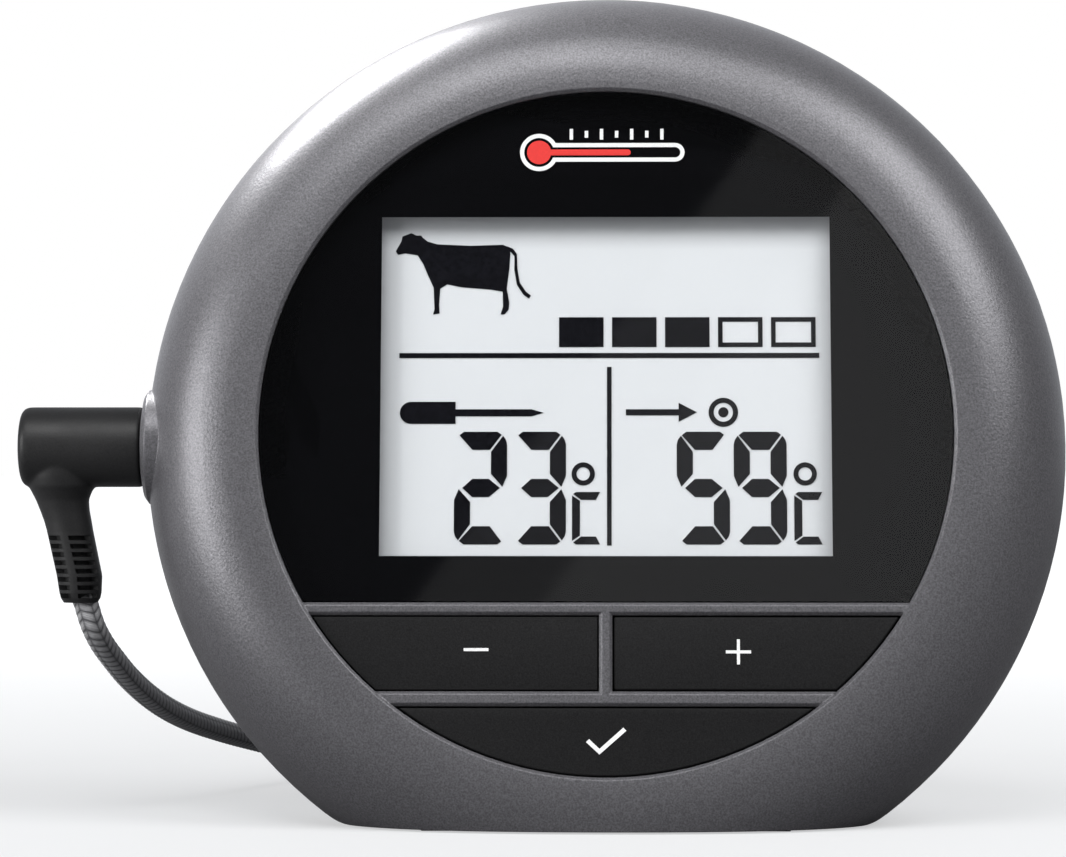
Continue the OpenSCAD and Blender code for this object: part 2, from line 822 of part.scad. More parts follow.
// Springs at the cells' negative ends
module battery_springs() {
  gap = contact_face - cell_len / 2;
  color(steel) on_face() for (way = [-1, 1]) {
    translate([way * contact_face, -way * cell_spread, cell_w]) rotate([0, -way * 90, 0])
      translate([0, 0, 0.25]) tube_along(helix(2.6, gap - 0.5, 3, 30), 0.24, 6);
  }
}

// Plates behind the cells: one that joins both cells, and two with legs that reach the board
module battery_contacts() {
  plate = 8.4;
  right = contact_face + 0.1;
  color(steel) on_face() {
    translate([right, -cell_spread - plate / 2, cell_w - plate / 2])
      cube([contact_t, 2 * cell_spread + plate, plate]);
    translate([cell_len / 2 + 0.05, cell_spread, cell_w]) rotate([0, 90, 0])
      cylinder(r1 = 1.6, r2 = 2.4, h = right - cell_len / 2 + eps);
    for (side = [-1, 1]) {
      translate([-right - contact_t, side * cell_spread - plate / 2, cell_w - plate / 2])
        cube([contact_t, plate, plate]);
      translate([-right - contact_t, side * cell_spread - 1, cell_w]) cube([contact_t, 2, board_low - cell_w]);
    }
    translate([-cell_len / 2 - 0.05, -cell_spread, cell_w]) rotate([0, -90, 0])
      cylinder(r1 = 1.6, r2 = 2.4, h = right - cell_len / 2 + eps);
  }
}

// One stretch of the plug's arm, between two round ends
module arm_stretch(start, start_r, end, end_r) {
  hull() {
    translate(start) sphere(r = start_r, $fn = 32);
    translate(end) sphere(r = end_r, $fn = 32);
  }
}

// Moulded plug: a barrel along x with a tapered arm that hangs from it, slotted as a strain relief
module plug_body() {
  rim = 0.8;
  slot_pitch = 0.83;
  color(charcoal) difference() {
    union() {
      on_face() translate([plug_x - barrel_len + rim, 0, 0]) rotate([0, 90, 0])
        cylinder(r = plug_d / 2, h = barrel_len - rim);
      on_face() translate([plug_x - barrel_len, 0, 0]) rotate([0, 90, 0])
        cylinder(r1 = plug_d / 2 - rim, r2 = plug_d / 2, h = rim);
      arm_stretch(arm_top, 3.4, arm_neck, 2.4);
      arm_stretch(arm_neck, 2.4, arm_waist, 2.3);
      arm_stretch(arm_waist, 2.3, arm_end - [0.4, 0, 0], 1.95);
    }
    for (i = [0:7]) {
      translate([-51.9, mid_y - 3, mid_z - 8.9 - i * slot_pitch]) cube([2, 6, slot_pitch / 2]);
    }
    translate([-60, mid_y - 5, arm_end[2] - 3]) cube([20, 10, 3]);
  }
}

// The plug's contact pin: sleeve, insulating ring and tip
module pin_piece(start, length, r_start, r_end) {
  on_face() translate([plug_x + start, 0, 0]) rotate([0, 90, 0]) cylinder(r1 = r_start, r2 = r_end, h = length);
}

module plug_sleeve() {
  color(brass) pin_piece(0, 6.2, sleeve_r, sleeve_r);
}

module plug_insulator() {
  color("black") pin_piece(6.2, 0.8, sleeve_r, sleeve_r);
}

module plug_tip() {
  color(brass) {
    pin_piece(7, 2.6, sleeve_r, sleeve_r);
    pin_piece(9.6, 1.4, sleeve_r, 0.5);
  }
}

module probe_lead() {
  color(braid_grey) {
    tube_along(lead_in, lead_d / 2, 8);
    tube_along(lead_out, lead_d / 2, 8);
  }
}

// Outer form of the coiled length
module lead_coil() {
  half_w = ((coil_columns - 1) * coil_pitch + lead_d) / 2;
  coil_h = (coil_layers - 1) * coil_pitch + lead_d;
  color(braid_grey) translate([coil_mid[0], coil_mid[1], tie_t]) rotate_extrude()
    translate([coil_r - half_w, 0]) square([2 * half_w, coil_h]);
}

// Band round the coil's section
module coil_tie() {
  half_w = ((coil_columns - 1) * coil_pitch + lead_d) / 2;
  coil_h = (coil_layers - 1) * coil_pitch + lead_d;
  color(charcoal) translate([coil_mid[0], coil_mid[1], 0]) rotate(200) translate([coil_r, 0, tie_t]) difference() {
    translate([-half_w - tie_t - 0.15, -tie_w / 2, -tie_t])
      cube([2 * (half_w + tie_t + 0.15), tie_w, coil_h + 2 * tie_t]);
    translate([-half_w - 0.15, -tie_w, 0]) cube([2 * (half_w + 0.15), 2 * tie_w, coil_h]);
  }
}

// Spring that guards the lead where it enters the probe
module probe_spring() {
  color(steel) translate(spring_start) rotate([0, 90, 0]) tube_along(helix(1.6, spring_len, 7, 70), 0.25, 6);
}

module probe_crimp() {
  color(steel) translate([crimp_x, 30, probe_z]) rotate([0, 90, 0]) difference() {
    cylinder(r = probe_d / 2, h = crimp_len);
    for (z = [1.4, 3.4]) {
      translate([0, 0, z]) difference() {
        cylinder(r = probe_d, h = 0.6);
        translate([0, 0, -1]) cylinder(r = probe_d / 2 - 0.2, h = 3);
      }
    }
  }
}

// Bent stainless tube with a tapered point
module probe_needle() {
  taper = 9;
  color(steel) {
    translate([crimp_x + crimp_len, needle_y, probe_z]) rotate(-90) rotate_extrude(angle = 90)
      translate([bend_r, 0]) circle(r = probe_d / 2);
    translate([needle_x, needle_y, probe_z]) rotate([-90, 0, 0]) {
      cylinder(r = probe_d / 2, h = probe_len - taper);
      translate([0, 0, probe_len - taper]) cylinder(r1 = probe_d / 2, r2 = 0.5, h = taper);
    }
  }
}

front_bezel();
rear_housing();
foot_pads();
housing_screws();
display_window();
window_mask();
lcd_panel();
lcd_segments();
lcd_frame();
light_guide();
backlight_led();
zebra_strip();
minus_button();
plus_button();
set_button();
minus_plunger();
plus_plunger();
set_plunger();
switch_bodies();
main_board();
board_screws();
controller_chip();
crystal();
capacitors();
board_resistors();
buzzer();
jack_socket();
jack_contacts();
battery_door();
upper_cell();
lower_cell();
battery_springs();
battery_contacts();
plug_body();
plug_sleeve();
plug_insulator();
plug_tip();
probe_lead();
lead_coil();
coil_tie();
probe_spring();
probe_crimp();
probe_needle();
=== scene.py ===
"""Looks of a free-standing barbecue thermometer with a plug-in meat probe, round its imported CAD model."""

import json
import math

import bmesh
import bpy
from mathutils import Matrix, Vector


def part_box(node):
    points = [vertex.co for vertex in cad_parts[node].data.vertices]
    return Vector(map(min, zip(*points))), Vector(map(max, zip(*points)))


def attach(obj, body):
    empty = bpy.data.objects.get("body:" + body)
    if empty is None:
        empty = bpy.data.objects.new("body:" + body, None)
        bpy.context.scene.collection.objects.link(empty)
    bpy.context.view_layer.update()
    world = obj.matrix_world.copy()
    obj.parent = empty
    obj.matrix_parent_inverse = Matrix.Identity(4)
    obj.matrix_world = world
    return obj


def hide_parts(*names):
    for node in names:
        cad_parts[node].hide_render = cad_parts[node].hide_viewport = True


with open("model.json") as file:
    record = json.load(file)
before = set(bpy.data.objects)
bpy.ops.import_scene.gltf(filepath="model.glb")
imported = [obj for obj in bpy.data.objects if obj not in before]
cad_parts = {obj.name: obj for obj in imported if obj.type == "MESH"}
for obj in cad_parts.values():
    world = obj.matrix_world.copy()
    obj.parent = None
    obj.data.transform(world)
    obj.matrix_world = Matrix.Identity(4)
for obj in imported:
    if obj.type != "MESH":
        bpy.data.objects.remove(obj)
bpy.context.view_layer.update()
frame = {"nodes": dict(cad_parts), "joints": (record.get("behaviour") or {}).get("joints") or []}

MM = 0.001
UP = Vector((0, 0, 1))
NODES = frame["nodes"]


# ---------------------------------------------------------------- places, from the frame

def joint(name):
    """The record's joint of that name."""
    return next(j for j in frame["joints"] if j["name"] == name)


def middle(node):
    """The middle of a node's box."""
    low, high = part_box(node)
    return (low + high) / 2


# The face's own axes: across, up the face, and out of the face towards the viewer.
# The jack's axis runs through the ring's centre.
ACROSS = Vector((1, 0, 0))
OUT = -Vector(joint("minus_press")["axis"]).normalized()
ALONG = OUT.cross(ACROSS)
CENTRE = Vector((0, middle("plug_sleeve").y, middle("plug_sleeve").z))


def on_face(x, v, w):
    """The place of a point of the face, given in millimetres from the ring's centre."""
    return CENTRE + MM * (x * ACROSS + v * ALONG + w * OUT)


# The visible part of the display, across and up the face, in millimetres.
DISPLAY_LOW = (-22.15, -12.25)
DISPLAY_HIGH = (22.15, 21.65)


def depth_of(node):
    """How far out of the face a node reaches, in millimetres from the ring's centre."""
    return max((p.co - CENTRE).dot(OUT) for p in NODES[node].data.vertices) / MM


# ---------------------------------------------------------------- camera

CAMERA_PLACE = Vector((0, -386.5, 34.7)) * MM
CAMERA_TURN = math.radians(1.086)
CAMERA_LIFT = math.radians(0.673)
CAMERA_LENS = 129.34


def make_camera():
    """The photograph's view."""
    data = bpy.data.cameras.new("camera")
    data.lens = CAMERA_LENS
    data.sensor_width = 36
    data.clip_start = 0.01
    data.clip_end = 100
    camera = bpy.data.objects.new("camera", data)
    camera.location = CAMERA_PLACE
    camera.rotation_euler = (math.pi / 2 + CAMERA_LIFT, 0, CAMERA_TURN)
    bpy.context.scene.collection.objects.link(camera)
    bpy.context.scene.camera = camera


# ---------------------------------------------------------------- material helpers

class Finish:
    """A procedural material under construction: a Principled shader and what feeds it."""

    def __init__(self, name, colour, roughness, metallic=0.0):
        self.material = bpy.data.materials.new(name)
        self.material.use_nodes = True
        self.nodes = self.material.node_tree.nodes
        self.links = self.material.node_tree.links
        self.shader = self.nodes["Principled BSDF"]
        self.shader.inputs["Base Color"].default_value = (*colour, 1)
        self.shader.inputs["Roughness"].default_value = roughness
        self.shader.inputs["Metallic"].default_value = metallic
        self.colour = colour
        self.roughness = roughness
        self.normal = None

    def node(self, kind, **settings):
        """A new node; each setting is the value of an input or of a property."""
        made = self.nodes.new(kind)
        for key, value in settings.items():
            if key in made.inputs:
                made.inputs[key].default_value = value
            else:
                setattr(made, key, value)
        return made

    def join(self, source, target):
        """Links an output to an input."""
        self.links.new(source, target)

    def maths(self, operation, first, second=None):
        """A Math node's result; each input is a socket or a number."""
        made = self.node("ShaderNodeMath", operation=operation)
        for slot, value in zip(made.inputs, (first, second)):
            if isinstance(value, (int, float)):
                slot.default_value = value
            elif value is not None:
                self.join(value, slot)
        return made.outputs[0]

    def place(self):
        """Where a point is on the piece at rest, in metres."""
        return self.node("ShaderNodeTexCoord").outputs["Object"]

    def along(self, axis):
        """How far a point is from the ring's centre along an axis."""
        away = self.node("ShaderNodeVectorMath", operation="SUBTRACT")
        self.join(self.place(), away.inputs[0])
        away.inputs[1].default_value = CENTRE
        made = self.node("ShaderNodeVectorMath", operation="DOT_PRODUCT")
        self.join(away.outputs[0], made.inputs[0])
        made.inputs[1].default_value = axis
        return made.outputs["Value"]

    def noise(self, size, detail=2.0, stretch=(1, 1, 1)):
        """Noise whose blotches are about size millimetres across."""
        mapping = self.node("ShaderNodeMapping")
        mapping.inputs["Scale"].default_value = stretch
        self.join(self.place(), mapping.inputs["Vector"])
        made = self.node("ShaderNodeTexNoise", Scale=1 / (size * MM), Detail=detail)
        self.join(mapping.outputs[0], made.inputs["Vector"])
        return made.outputs["Fac"]

    def spread(self, value, low, high, to_low, to_high):
        """Maps a range of a value to another."""
        made = self.node("ShaderNodeMapRange")
        ends = {"From Min": low, "From Max": high, "To Min": to_low, "To Max": to_high}
        for key, number in ends.items():
            made.inputs[key].default_value = number
        self.join(value, made.inputs["Value"])
        return made.outputs[0]

    def blend(self, amount, first, second):
        """A colour between two, by an amount from 0 to 1; each is a socket or a colour."""
        made = self.node("ShaderNodeMix", data_type="RGBA")
        self.join(amount, made.inputs["Factor"])
        for slot, value in ((made.inputs[6], first), (made.inputs[7], second)):
            if isinstance(value, tuple):
                slot.default_value = (*value, 1)
            else:
                self.join(value, slot)
        return made.outputs[2]

    def paint(self, colour):
        """Feeds the shader's colour."""
        self.join(colour, self.shader.inputs["Base Color"])

    def speckle(self, size, contrast):
        """Varies the colour finely between a darker and a lighter tone."""
        amount = self.spread(self.noise(size), 0.3, 0.7, 0, 1)
        dark = tuple(c * (1 - contrast) for c in self.colour)
        light = tuple(c * (1 + contrast) for c in self.colour)
        self.paint(self.blend(amount, dark, light))
        return self

    def wear(self, size, change):
        """Varies the roughness in soft patches."""
        smooth, rough = self.roughness - change, self.roughness + change
        value = self.spread(self.noise(size, 4), 0.3, 0.7, smooth, rough)
        self.join(value, self.shader.inputs["Roughness"])
        return self

    def bump(self, height, depth):
        """Raises the surface by a height from 0 to 1; depth is in millimetres."""
        made = self.node("ShaderNodeBump", Strength=1.0, Distance=depth * MM)
        self.join(height, made.inputs["Height"])
        if self.normal is not None:
            self.join(self.normal, made.inputs["Normal"])
        self.normal = made.outputs["Normal"]
        self.join(self.normal, self.shader.inputs["Normal"])
        return self

    def round_edges(self, radius):
        """Rounds the way light falls on sharp edges; the radius is in millimetres."""
        made = self.node("ShaderNodeBevel", Radius=radius * MM, samples=6)
        self.normal = made.outputs["Normal"]
        self.join(self.normal, self.shader.inputs["Normal"])
        return self

    def grain(self, size, depth):
        """Moulded grain."""
        return self.bump(self.noise(size, 3), depth)


# ---------------------------------------------------------------- materials

def painted_plastic():
    """Satin dark grey paint with a fine metallic fleck, and moulded edges that catch the light."""
    finish = Finish("ring_paint", (0.118, 0.116, 0.125), 0.37, 0.4)
    finish.round_edges(0.2)
    finish.speckle(0.18, 0.30)
    finish.wear(9, 0.02)
    finish.grain(0.26, 0.022)
    return finish.material


def button_plastic():
    """Matt charcoal plastic with a fine grain."""
    finish = Finish("button_black", (0.0135, 0.0135, 0.014), 0.6)
    finish.shader.inputs["Specular IOR Level"].default_value = 0.08
    finish.speckle(0.14, 0.3)
    finish.wear(5, 0.05)
    return finish.grain(0.16, 0.012).material


def window_clear():
    """Clear pane with blacked edges: what isn't reflected at the surface goes straight through."""
    finish = Finish("window_clear", (1, 1, 1), 0.03)
    finish.nodes.remove(finish.shader)
    gloss = finish.node("ShaderNodeBsdfGlossy")
    gloss.inputs["Roughness"].default_value = 0.03
    clear = finish.node("ShaderNodeBsdfTransparent")
    clear.inputs["Color"].default_value = (0.985, 0.99, 0.99, 1)
    fresnel = finish.node("ShaderNodeFresnel", IOR=1.45)
    smear = finish.node("ShaderNodeBump", Strength=0.06, Distance=0.05 * MM)
    finish.join(finish.noise(14, 1), smear.inputs["Height"])
    finish.join(smear.outputs[0], gloss.inputs["Normal"])
    mix = finish.node("ShaderNodeMixShader")
    outside = finish.maths("SUBTRACT", 1.0, finish.node("ShaderNodeNewGeometry").outputs["Backfacing"])
    finish.join(finish.maths("MULTIPLY", fresnel.outputs[0], outside), mix.inputs["Fac"])
    finish.join(clear.outputs[0], mix.inputs[1])
    finish.join(gloss.outputs[0], mix.inputs[2])
    facing = finish.node("ShaderNodeVectorMath", operation="DOT_PRODUCT")
    finish.join(finish.node("ShaderNodeNewGeometry").outputs["True Normal"], facing.inputs[0])
    facing.inputs[1].default_value = OUT
    edge = finish.maths("LESS_THAN", finish.maths("ABSOLUTE", facing.outputs["Value"]), 0.5)
    blacked = finish.node("ShaderNodeBsdfDiffuse")
    blacked.inputs["Color"].default_value = (0.003, 0.003, 0.0035, 1)
    whole = finish.node("ShaderNodeMixShader")
    finish.join(edge, whole.inputs["Fac"])
    finish.join(mix.outputs[0], whole.inputs[1])
    finish.join(blacked.outputs[0], whole.inputs[2])
    output = next(n for n in finish.nodes if n.type == "OUTPUT_MATERIAL")
    finish.join(whole.outputs[0], output.inputs["Surface"])
    return finish.material


def mask_black():
    """Black print on the back of the pane."""
    finish = Finish("mask_black", (0.0022, 0.0022, 0.0028), 0.5)
    finish.shader.inputs["Specular IOR Level"].default_value = 0.0
    return finish.speckle(0.3, 0.25).grain(0.25, 0.004).material


# The display's own pale colour, and the dark colour that its painted shade along the frame's edges blends
# towards.
DISPLAY_PALE = (0.66, 0.67, 0.69)
DISPLAY_PAINTED_SHADE = (0.10, 0.10, 0.11)


def display_glass():
    """Lit pale display, with painted shade darkening its colour along the left, right and top edges, where
    the frame shades it.
    """
    finish = Finish("lcd_glass", DISPLAY_PALE, 0.35)
    finish.shader.inputs["Specular IOR Level"].default_value = 0.1
    low, high = DISPLAY_LOW, DISPLAY_HIGH
    x = finish.along(ACROSS)
    v = finish.along(ALONG)
    # Painted shade: the colour darkens within a few millimetres of the left, right and top edges.
    from_left = finish.spread(finish.maths("SUBTRACT", x, low[0] * MM), 0, 2.2 * MM, 0.55, 1)
    from_right = finish.spread(finish.maths("SUBTRACT", high[0] * MM, x), 0, 0.9 * MM, 0.8, 1)
    from_top = finish.spread(finish.maths("SUBTRACT", high[1] * MM, v), 0, 3.0 * MM, 0.42, 1)
    painted_shade = finish.maths("MULTIPLY", finish.maths("MULTIPLY", from_left, from_right), from_top)
    tone = finish.blend(painted_shade, DISPLAY_PAINTED_SHADE, DISPLAY_PALE)
    fine = finish.spread(finish.noise(0.35), 0.3, 0.7, 0.0, 0.05)
    finish.paint(finish.blend(fine, tone, (0.5, 0.5, 0.52)))
    finish.shader.inputs["Emission Color"].default_value = (0.92, 0.95, 1.0, 1)
    finish.shader.inputs["Emission Strength"].default_value = 0.06
    return finish.grain(0.4, 0.003).material


def display_ink():
    """Dark liquid-crystal segments."""
    finish = Finish("lcd_ink", (0.006, 0.006, 0.008), 0.5)
    finish.shader.inputs["Specular IOR Level"].default_value = 0.0
    return finish.speckle(0.5, 0.35).grain(0.4, 0.003).material


def moulded_rubber(name, colour, roughness, grain_size=0.16, grain_depth=0.012):
    """Soft moulded plastic or rubber with a grain."""
    finish = Finish(name, colour, roughness)
    finish.shader.inputs["Specular IOR Level"].default_value = 0.3
    finish.speckle(grain_size, 0.25)
    finish.wear(4, 0.05)
    return finish.grain(grain_size, grain_depth).material


def bright_metal(name, colour, roughness, stretch=(1, 1, 1)):
    """Metal with fine drawn lines along one direction."""
    finish = Finish(name, colour, roughness, 1.0)
    finish.speckle(1.5, 0.04)
    finish.wear(8, 0.02)
    return finish.bump(finish.noise(0.2, 1, stretch), 0.0004).material


TRACK_PITCH = 1.3 * MM


def circuit_board():
    """Green solder mask with paler copper runs under it."""
    finish = Finish("board_green", (0.015, 0.11, 0.05), 0.35)
    place = finish.node("ShaderNodeSeparateXYZ")
    finish.join(finish.place(), place.inputs[0])
    run = finish.maths("SINE", finish.maths("MULTIPLY", place.outputs["X"], 2 * math.pi / TRACK_PITCH))
    wander = finish.maths("ADD", run, finish.maths("MULTIPLY", finish.noise(6), 3.0))
    track = finish.spread(wander, 1.9, 2.0, 0, 1)
    finish.paint(finish.blend(track, (0.012, 0.09, 0.04), (0.05, 0.24, 0.10)))
    return finish.bump(track, 0.03).material


CELL_BAND = 9.9 * MM      # from a cell's middle to its coloured band
CELL_SLEEVE = 20.9 * MM   # from a cell's middle to the sleeve's ends
CELL_EDGE = 0.1 * MM
CELL_DARK = (0.02, 0.02, 0.025)


def cell_sleeve(way):
    """A cell's dark printed sleeve: a copper-coloured band at its plus end, bare metal at both ends."""
    finish = Finish("cell_sleeve", CELL_DARK, 0.3)
    place = finish.node("ShaderNodeSeparateXYZ")
    finish.join(finish.place(), place.inputs[0])
    from_middle = finish.maths("ABSOLUTE", place.outputs["X"])
    to_plus = finish.maths("MULTIPLY", place.outputs["X"], way)
    band = finish.spread(to_plus, CELL_BAND, CELL_BAND + CELL_EDGE, 0, 1)
    sleeve = finish.blend(band, CELL_DARK, (0.55, 0.22, 0.05))
    bare = finish.spread(from_middle, CELL_SLEEVE, CELL_SLEEVE + CELL_EDGE, 0, 1)
    finish.paint(finish.blend(bare, sleeve, (0.6, 0.6, 0.62)))
    finish.join(bare, finish.shader.inputs["Metallic"])
    return finish.grain(1.2, 0.006).material


def white_print(name, colour):
    """Screen-printed ink."""
    finish = Finish(name, colour, 0.55)
    return finish.speckle(0.2, 0.04).grain(0.15, 0.006).material


FLOOR_TONE = (0.28, 0.283, 0.288)


def floor_white():
    """Pale studio floor that grows lighter with distance, and throws most light back up at the left."""
    finish = Finish("floor_white", FLOOR_TONE, 0.8)
    finish.shader.inputs["Specular IOR Level"].default_value = 0.1
    away = finish.node("ShaderNodeVectorMath", operation="LENGTH")
    finish.join(finish.place(), away.inputs[0])
    glow = finish.spread(away.outputs["Value"], 0.10, 0.50, 0.54, 0.94)
    seen = finish.node("ShaderNodeLightPath").outputs["Is Camera Ray"]
    finish.join(finish.maths("MULTIPLY", glow, seen), finish.shader.inputs["Emission Strength"])
    finish.shader.inputs["Emission Color"].default_value = (0.985, 0.992, 1, 1)
    place = finish.node("ShaderNodeSeparateXYZ")
    finish.join(finish.place(), place.inputs[0])
    to_left = finish.spread(place.outputs["X"], -0.35, -0.02, 1, 0)
    bounce = finish.blend(to_left, (0.15, 0.15, 0.155), (0.75, 0.75, 0.76))
    finish.paint(finish.blend(seen, bounce, FLOOR_TONE))
    return finish.grain(1.0, 0.01).material


BRAID_COLUMNS = 6
BRAID_PITCH = 0.87      # millimetres from stitch to stitch
BRAID_SLOPE = 0.75      # rise of a stitch across its column, in pitches
BRAID_THREADS = 4       # threads in a stitch


def braid_grey():
    """Braided sleeve: columns of slanting stitches that alternate in direction round the lead, with painted
    shade darkening the grooves between stitches and between threads.
    """
    finish = Finish("lead_braid", (0.30, 0.30, 0.31), 0.55)
    uv = finish.node("ShaderNodeSeparateXYZ")
    finish.join(finish.node("ShaderNodeUVMap", uv_map="braid").outputs[0], uv.inputs[0])
    across = finish.maths("MULTIPLY", uv.outputs["X"], BRAID_COLUMNS)
    in_column = finish.maths("FRACT", across)
    odd = finish.maths("MODULO", finish.maths("FLOOR", across), 2)
    way = finish.maths("SUBTRACT", finish.maths("MULTIPLY", odd, 2), 1)
    slant = finish.maths("MULTIPLY", finish.maths("SUBTRACT", in_column, 0.5), BRAID_SLOPE)
    phase = finish.maths("ADD", uv.outputs["Y"], finish.maths("MULTIPLY", slant, way))
    stitch = finish.maths("ABSOLUTE", finish.maths("SINE", finish.maths("MULTIPLY", phase, math.pi)))
    stitch = finish.maths("POWER", stitch, 0.6)
    column = finish.maths("SINE", finish.maths("MULTIPLY", in_column, math.pi))
    column = finish.maths("POWER", column, 0.35)
    height = finish.maths("MULTIPLY", stitch, column)
    threads = finish.maths("SINE", finish.maths("MULTIPLY", phase, 2 * math.pi * BRAID_THREADS))
    fine = finish.spread(threads, -1, 1, 0.8, 1.0)
    # Painted shade: the colour is darkest where the stitches and threads dip, in the grooves between them.
    painted_shade = finish.maths("MULTIPLY", finish.spread(height, 0.2, 0.9, 0.0, 1.0), fine)
    tone = finish.blend(painted_shade, (0.055, 0.055, 0.06), (0.42, 0.42, 0.43))
    worn = finish.spread(finish.noise(0.5, 3), 0.35, 0.65, 0.0, 0.35)
    finish.paint(finish.blend(worn, tone, (0.20, 0.20, 0.205)))
    return finish.bump(finish.maths("MULTIPLY", height, fine), 0.10).material


# ---------------------------------------------------------------- mesh helpers

def add_object(name, mesh, material, body, smooth_angle=None):
    """Links a mesh as a piece that rides on a body."""
    made = bpy.data.objects.new(name, mesh)
    bpy.context.scene.collection.objects.link(made)
    mesh.materials.clear()
    mesh.materials.append(material)
    if smooth_angle is not None:
        for polygon in mesh.polygons:
            polygon.use_smooth = True
        mesh.set_sharp_from_angle(angle=math.radians(smooth_angle))
    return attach(made, body)


def ring_frames(path):
    """A direction, a side and an up for each point of a path, without twist."""
    count = len(path)
    frames = []
    side = None
    for i, point in enumerate(path):
        direction = (path[min(i + 1, count - 1)] - path[max(i - 1, 0)]).normalized()
        if side is None:
            side = direction.cross(UP if abs(direction.z) < 0.9 else Vector((0, 1, 0)))
        side = (side - direction * side.dot(direction)).normalized()
        frames.append((point, direction, side, direction.cross(side)))
    return frames


def tube_mesh(name, path, radius, sides, uv_step=None):
    """A capped tube along a path. radius(i, angle) gives its radius; uv_step is the braid's pitch."""
    mesh = bmesh.new()
    rings = []
    for i, (point, _, side, up) in enumerate(ring_frames(path)):
        ring = []
        for k in range(sides):
            angle = 2 * math.pi * k / sides
            away = math.cos(angle) * side + math.sin(angle) * up
            ring.append(mesh.verts.new(point + away * radius(i, angle)))
        rings.append(ring)
    layer = mesh.loops.layers.uv.new("braid") if uv_step else None
    run = 0.0
    for i in range(len(rings) - 1):
        step = (path[i + 1] - path[i]).length
        for k in range(sides):
            after = (k + 1) % sides
            corners = (rings[i][k], rings[i][after], rings[i + 1][after], rings[i + 1][k])
            face = mesh.faces.new(corners)
            if layer:
                u, u_after = k / sides, (k + 1) / sides
                v, v_after = run / uv_step, (run + step) / uv_step
                places = ((u, v), (u_after, v), (u_after, v_after), (u, v_after))
                for loop, place in zip(face.loops, places):
                    loop[layer].uv = place
        run += step
    mesh.faces.new(list(reversed(rings[0])))
    mesh.faces.new(rings[-1])
    bmesh.ops.recalc_face_normals(mesh, faces=mesh.faces)
    data = bpy.data.meshes.new(name)
    mesh.to_mesh(data)
    mesh.free()
    return data


def close_ring(mesh, first, second):
    """Walls between two rings of the same number of points."""
    for k in range(len(first)):
        after = (k + 1) % len(first)
        mesh.faces.new((first[k], first[after], second[after], second[k]))


def spline_through(points, step):
    """A smooth line through points, sampled about every step."""
    padded = [2 * points[0] - points[1], *points, 2 * points[-1] - points[-2]]
    line = []
    for a, b, c, d in zip(padded, padded[1:], padded[2:], padded[3:]):
        count = max(1, round((c - b).length / step))
        for k in range(count):
            t = k / count
            line.append(0.5 * (2 * b + (c - a) * t + (2 * a - 5 * b + 4 * c - d) * t ** 2
                               + (3 * b - a - 3 * c + d) * t ** 3))
    line.append(points[-1])
    return line


WELD = 0.0005 * MM                  # points closer than this are one
FLAT = math.radians(0.5)            # faces that turn less than this are one
SHARP = math.radians(40)            # edges that turn more than this are rounded
BUTTON_EDGE = 0.18 * MM
PAD_EDGE = 0.15 * MM


def softened(node, body, material, width):
    """A copy of a node with its seams welded and its sharp edges rounded, which takes the node's place."""
    data = NODES[node].data.copy()
    mesh = bmesh.new()
    mesh.from_mesh(data)
    bmesh.ops.remove_doubles(mesh, verts=mesh.verts, dist=WELD)
    bmesh.ops.dissolve_limit(mesh, angle_limit=FLAT, verts=mesh.verts, edges=mesh.edges)
    shared = [edge for edge in mesh.edges if len(edge.link_faces) == 2]
    sharp = [edge for edge in shared if edge.calc_face_angle() > SHARP]
    bmesh.ops.bevel(
        mesh, geom=sharp, offset=width, segments=3, profile=0.5, affect="EDGES", clamp_overlap=True,
    )
    mesh.to_mesh(data)
    mesh.free()
    data.name = node + "_soft"
    made = add_object(node + "_soft", data, material, body, 35)
    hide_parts(node)
    return made


# ---------------------------------------------------------------- lead, its coil and its pieces

# The lead's and the coil's sizes are in millimetres, as in part.scad.
LEAD_D = 2.5
COIL_MID = (-11, 51)
COIL_PITCH = 2.6
COIL_INNER = 10.4
COIL_LOW = 1.65
COIL_COLUMNS = 3
COIL_LAYERS = 4
COIL_START = math.radians(134)
TURN_POINTS = 24
TURN_SHIFT = 0.2        # the part of a turn in which it moves to the next column or layer
# The route's points from part.scad: from the plug to the coil, and from the coil to the probe.
LEAD_IN = [
    (-52.3, -1.85, 21.7), (-51.65, -1.3, 19.4), (-50.9, 0.6, 17.4), (-50.0, 3.2, 15.6), (-49.1, 6.2, 13.9),
    (-47.9, 10, 12.1), (-46.6, 14.2, 10.5), (-45.3, 18.6, 9.2), (-43.9, 23, 8.1), (-42.3, 27.6, 7.1),
    (-40.7, 32, 6.2), (-38.9, 36.6, 5.3), (-36.9, 41, 4.4), (-34.4, 45.9, 3.5), (-31.7, 50.4, 2.7),
    (-28.7, 54.8, 2.1), (-25.4, 58.7, 1.7),
]
LEAD_OUT = [
    (4.7, 48.5, 9.45), (4.8, 46, 9.3), (4.9, 43.4, 8.8), (5.1, 40.8, 7.9), (5.5, 38.2, 6.7),
    (6.2, 35.7, 5.4), (7.4, 33.4, 4.2), (9.2, 31.5, 3.2), (11.4, 30.4, 2.5), (13.8, 30, 2.1),
    (16.2, 30, 2), (18.5, 30, 2),
]


def coil_spot(turn):
    """Radius and height of a turn: the layers wind inwards and outwards by turns."""
    layer, place = divmod(turn, COIL_COLUMNS)
    column = COIL_COLUMNS - 1 - place if layer % 2 == 0 else place
    return COIL_INNER + COIL_PITCH * column, COIL_LOW + COIL_PITCH * layer


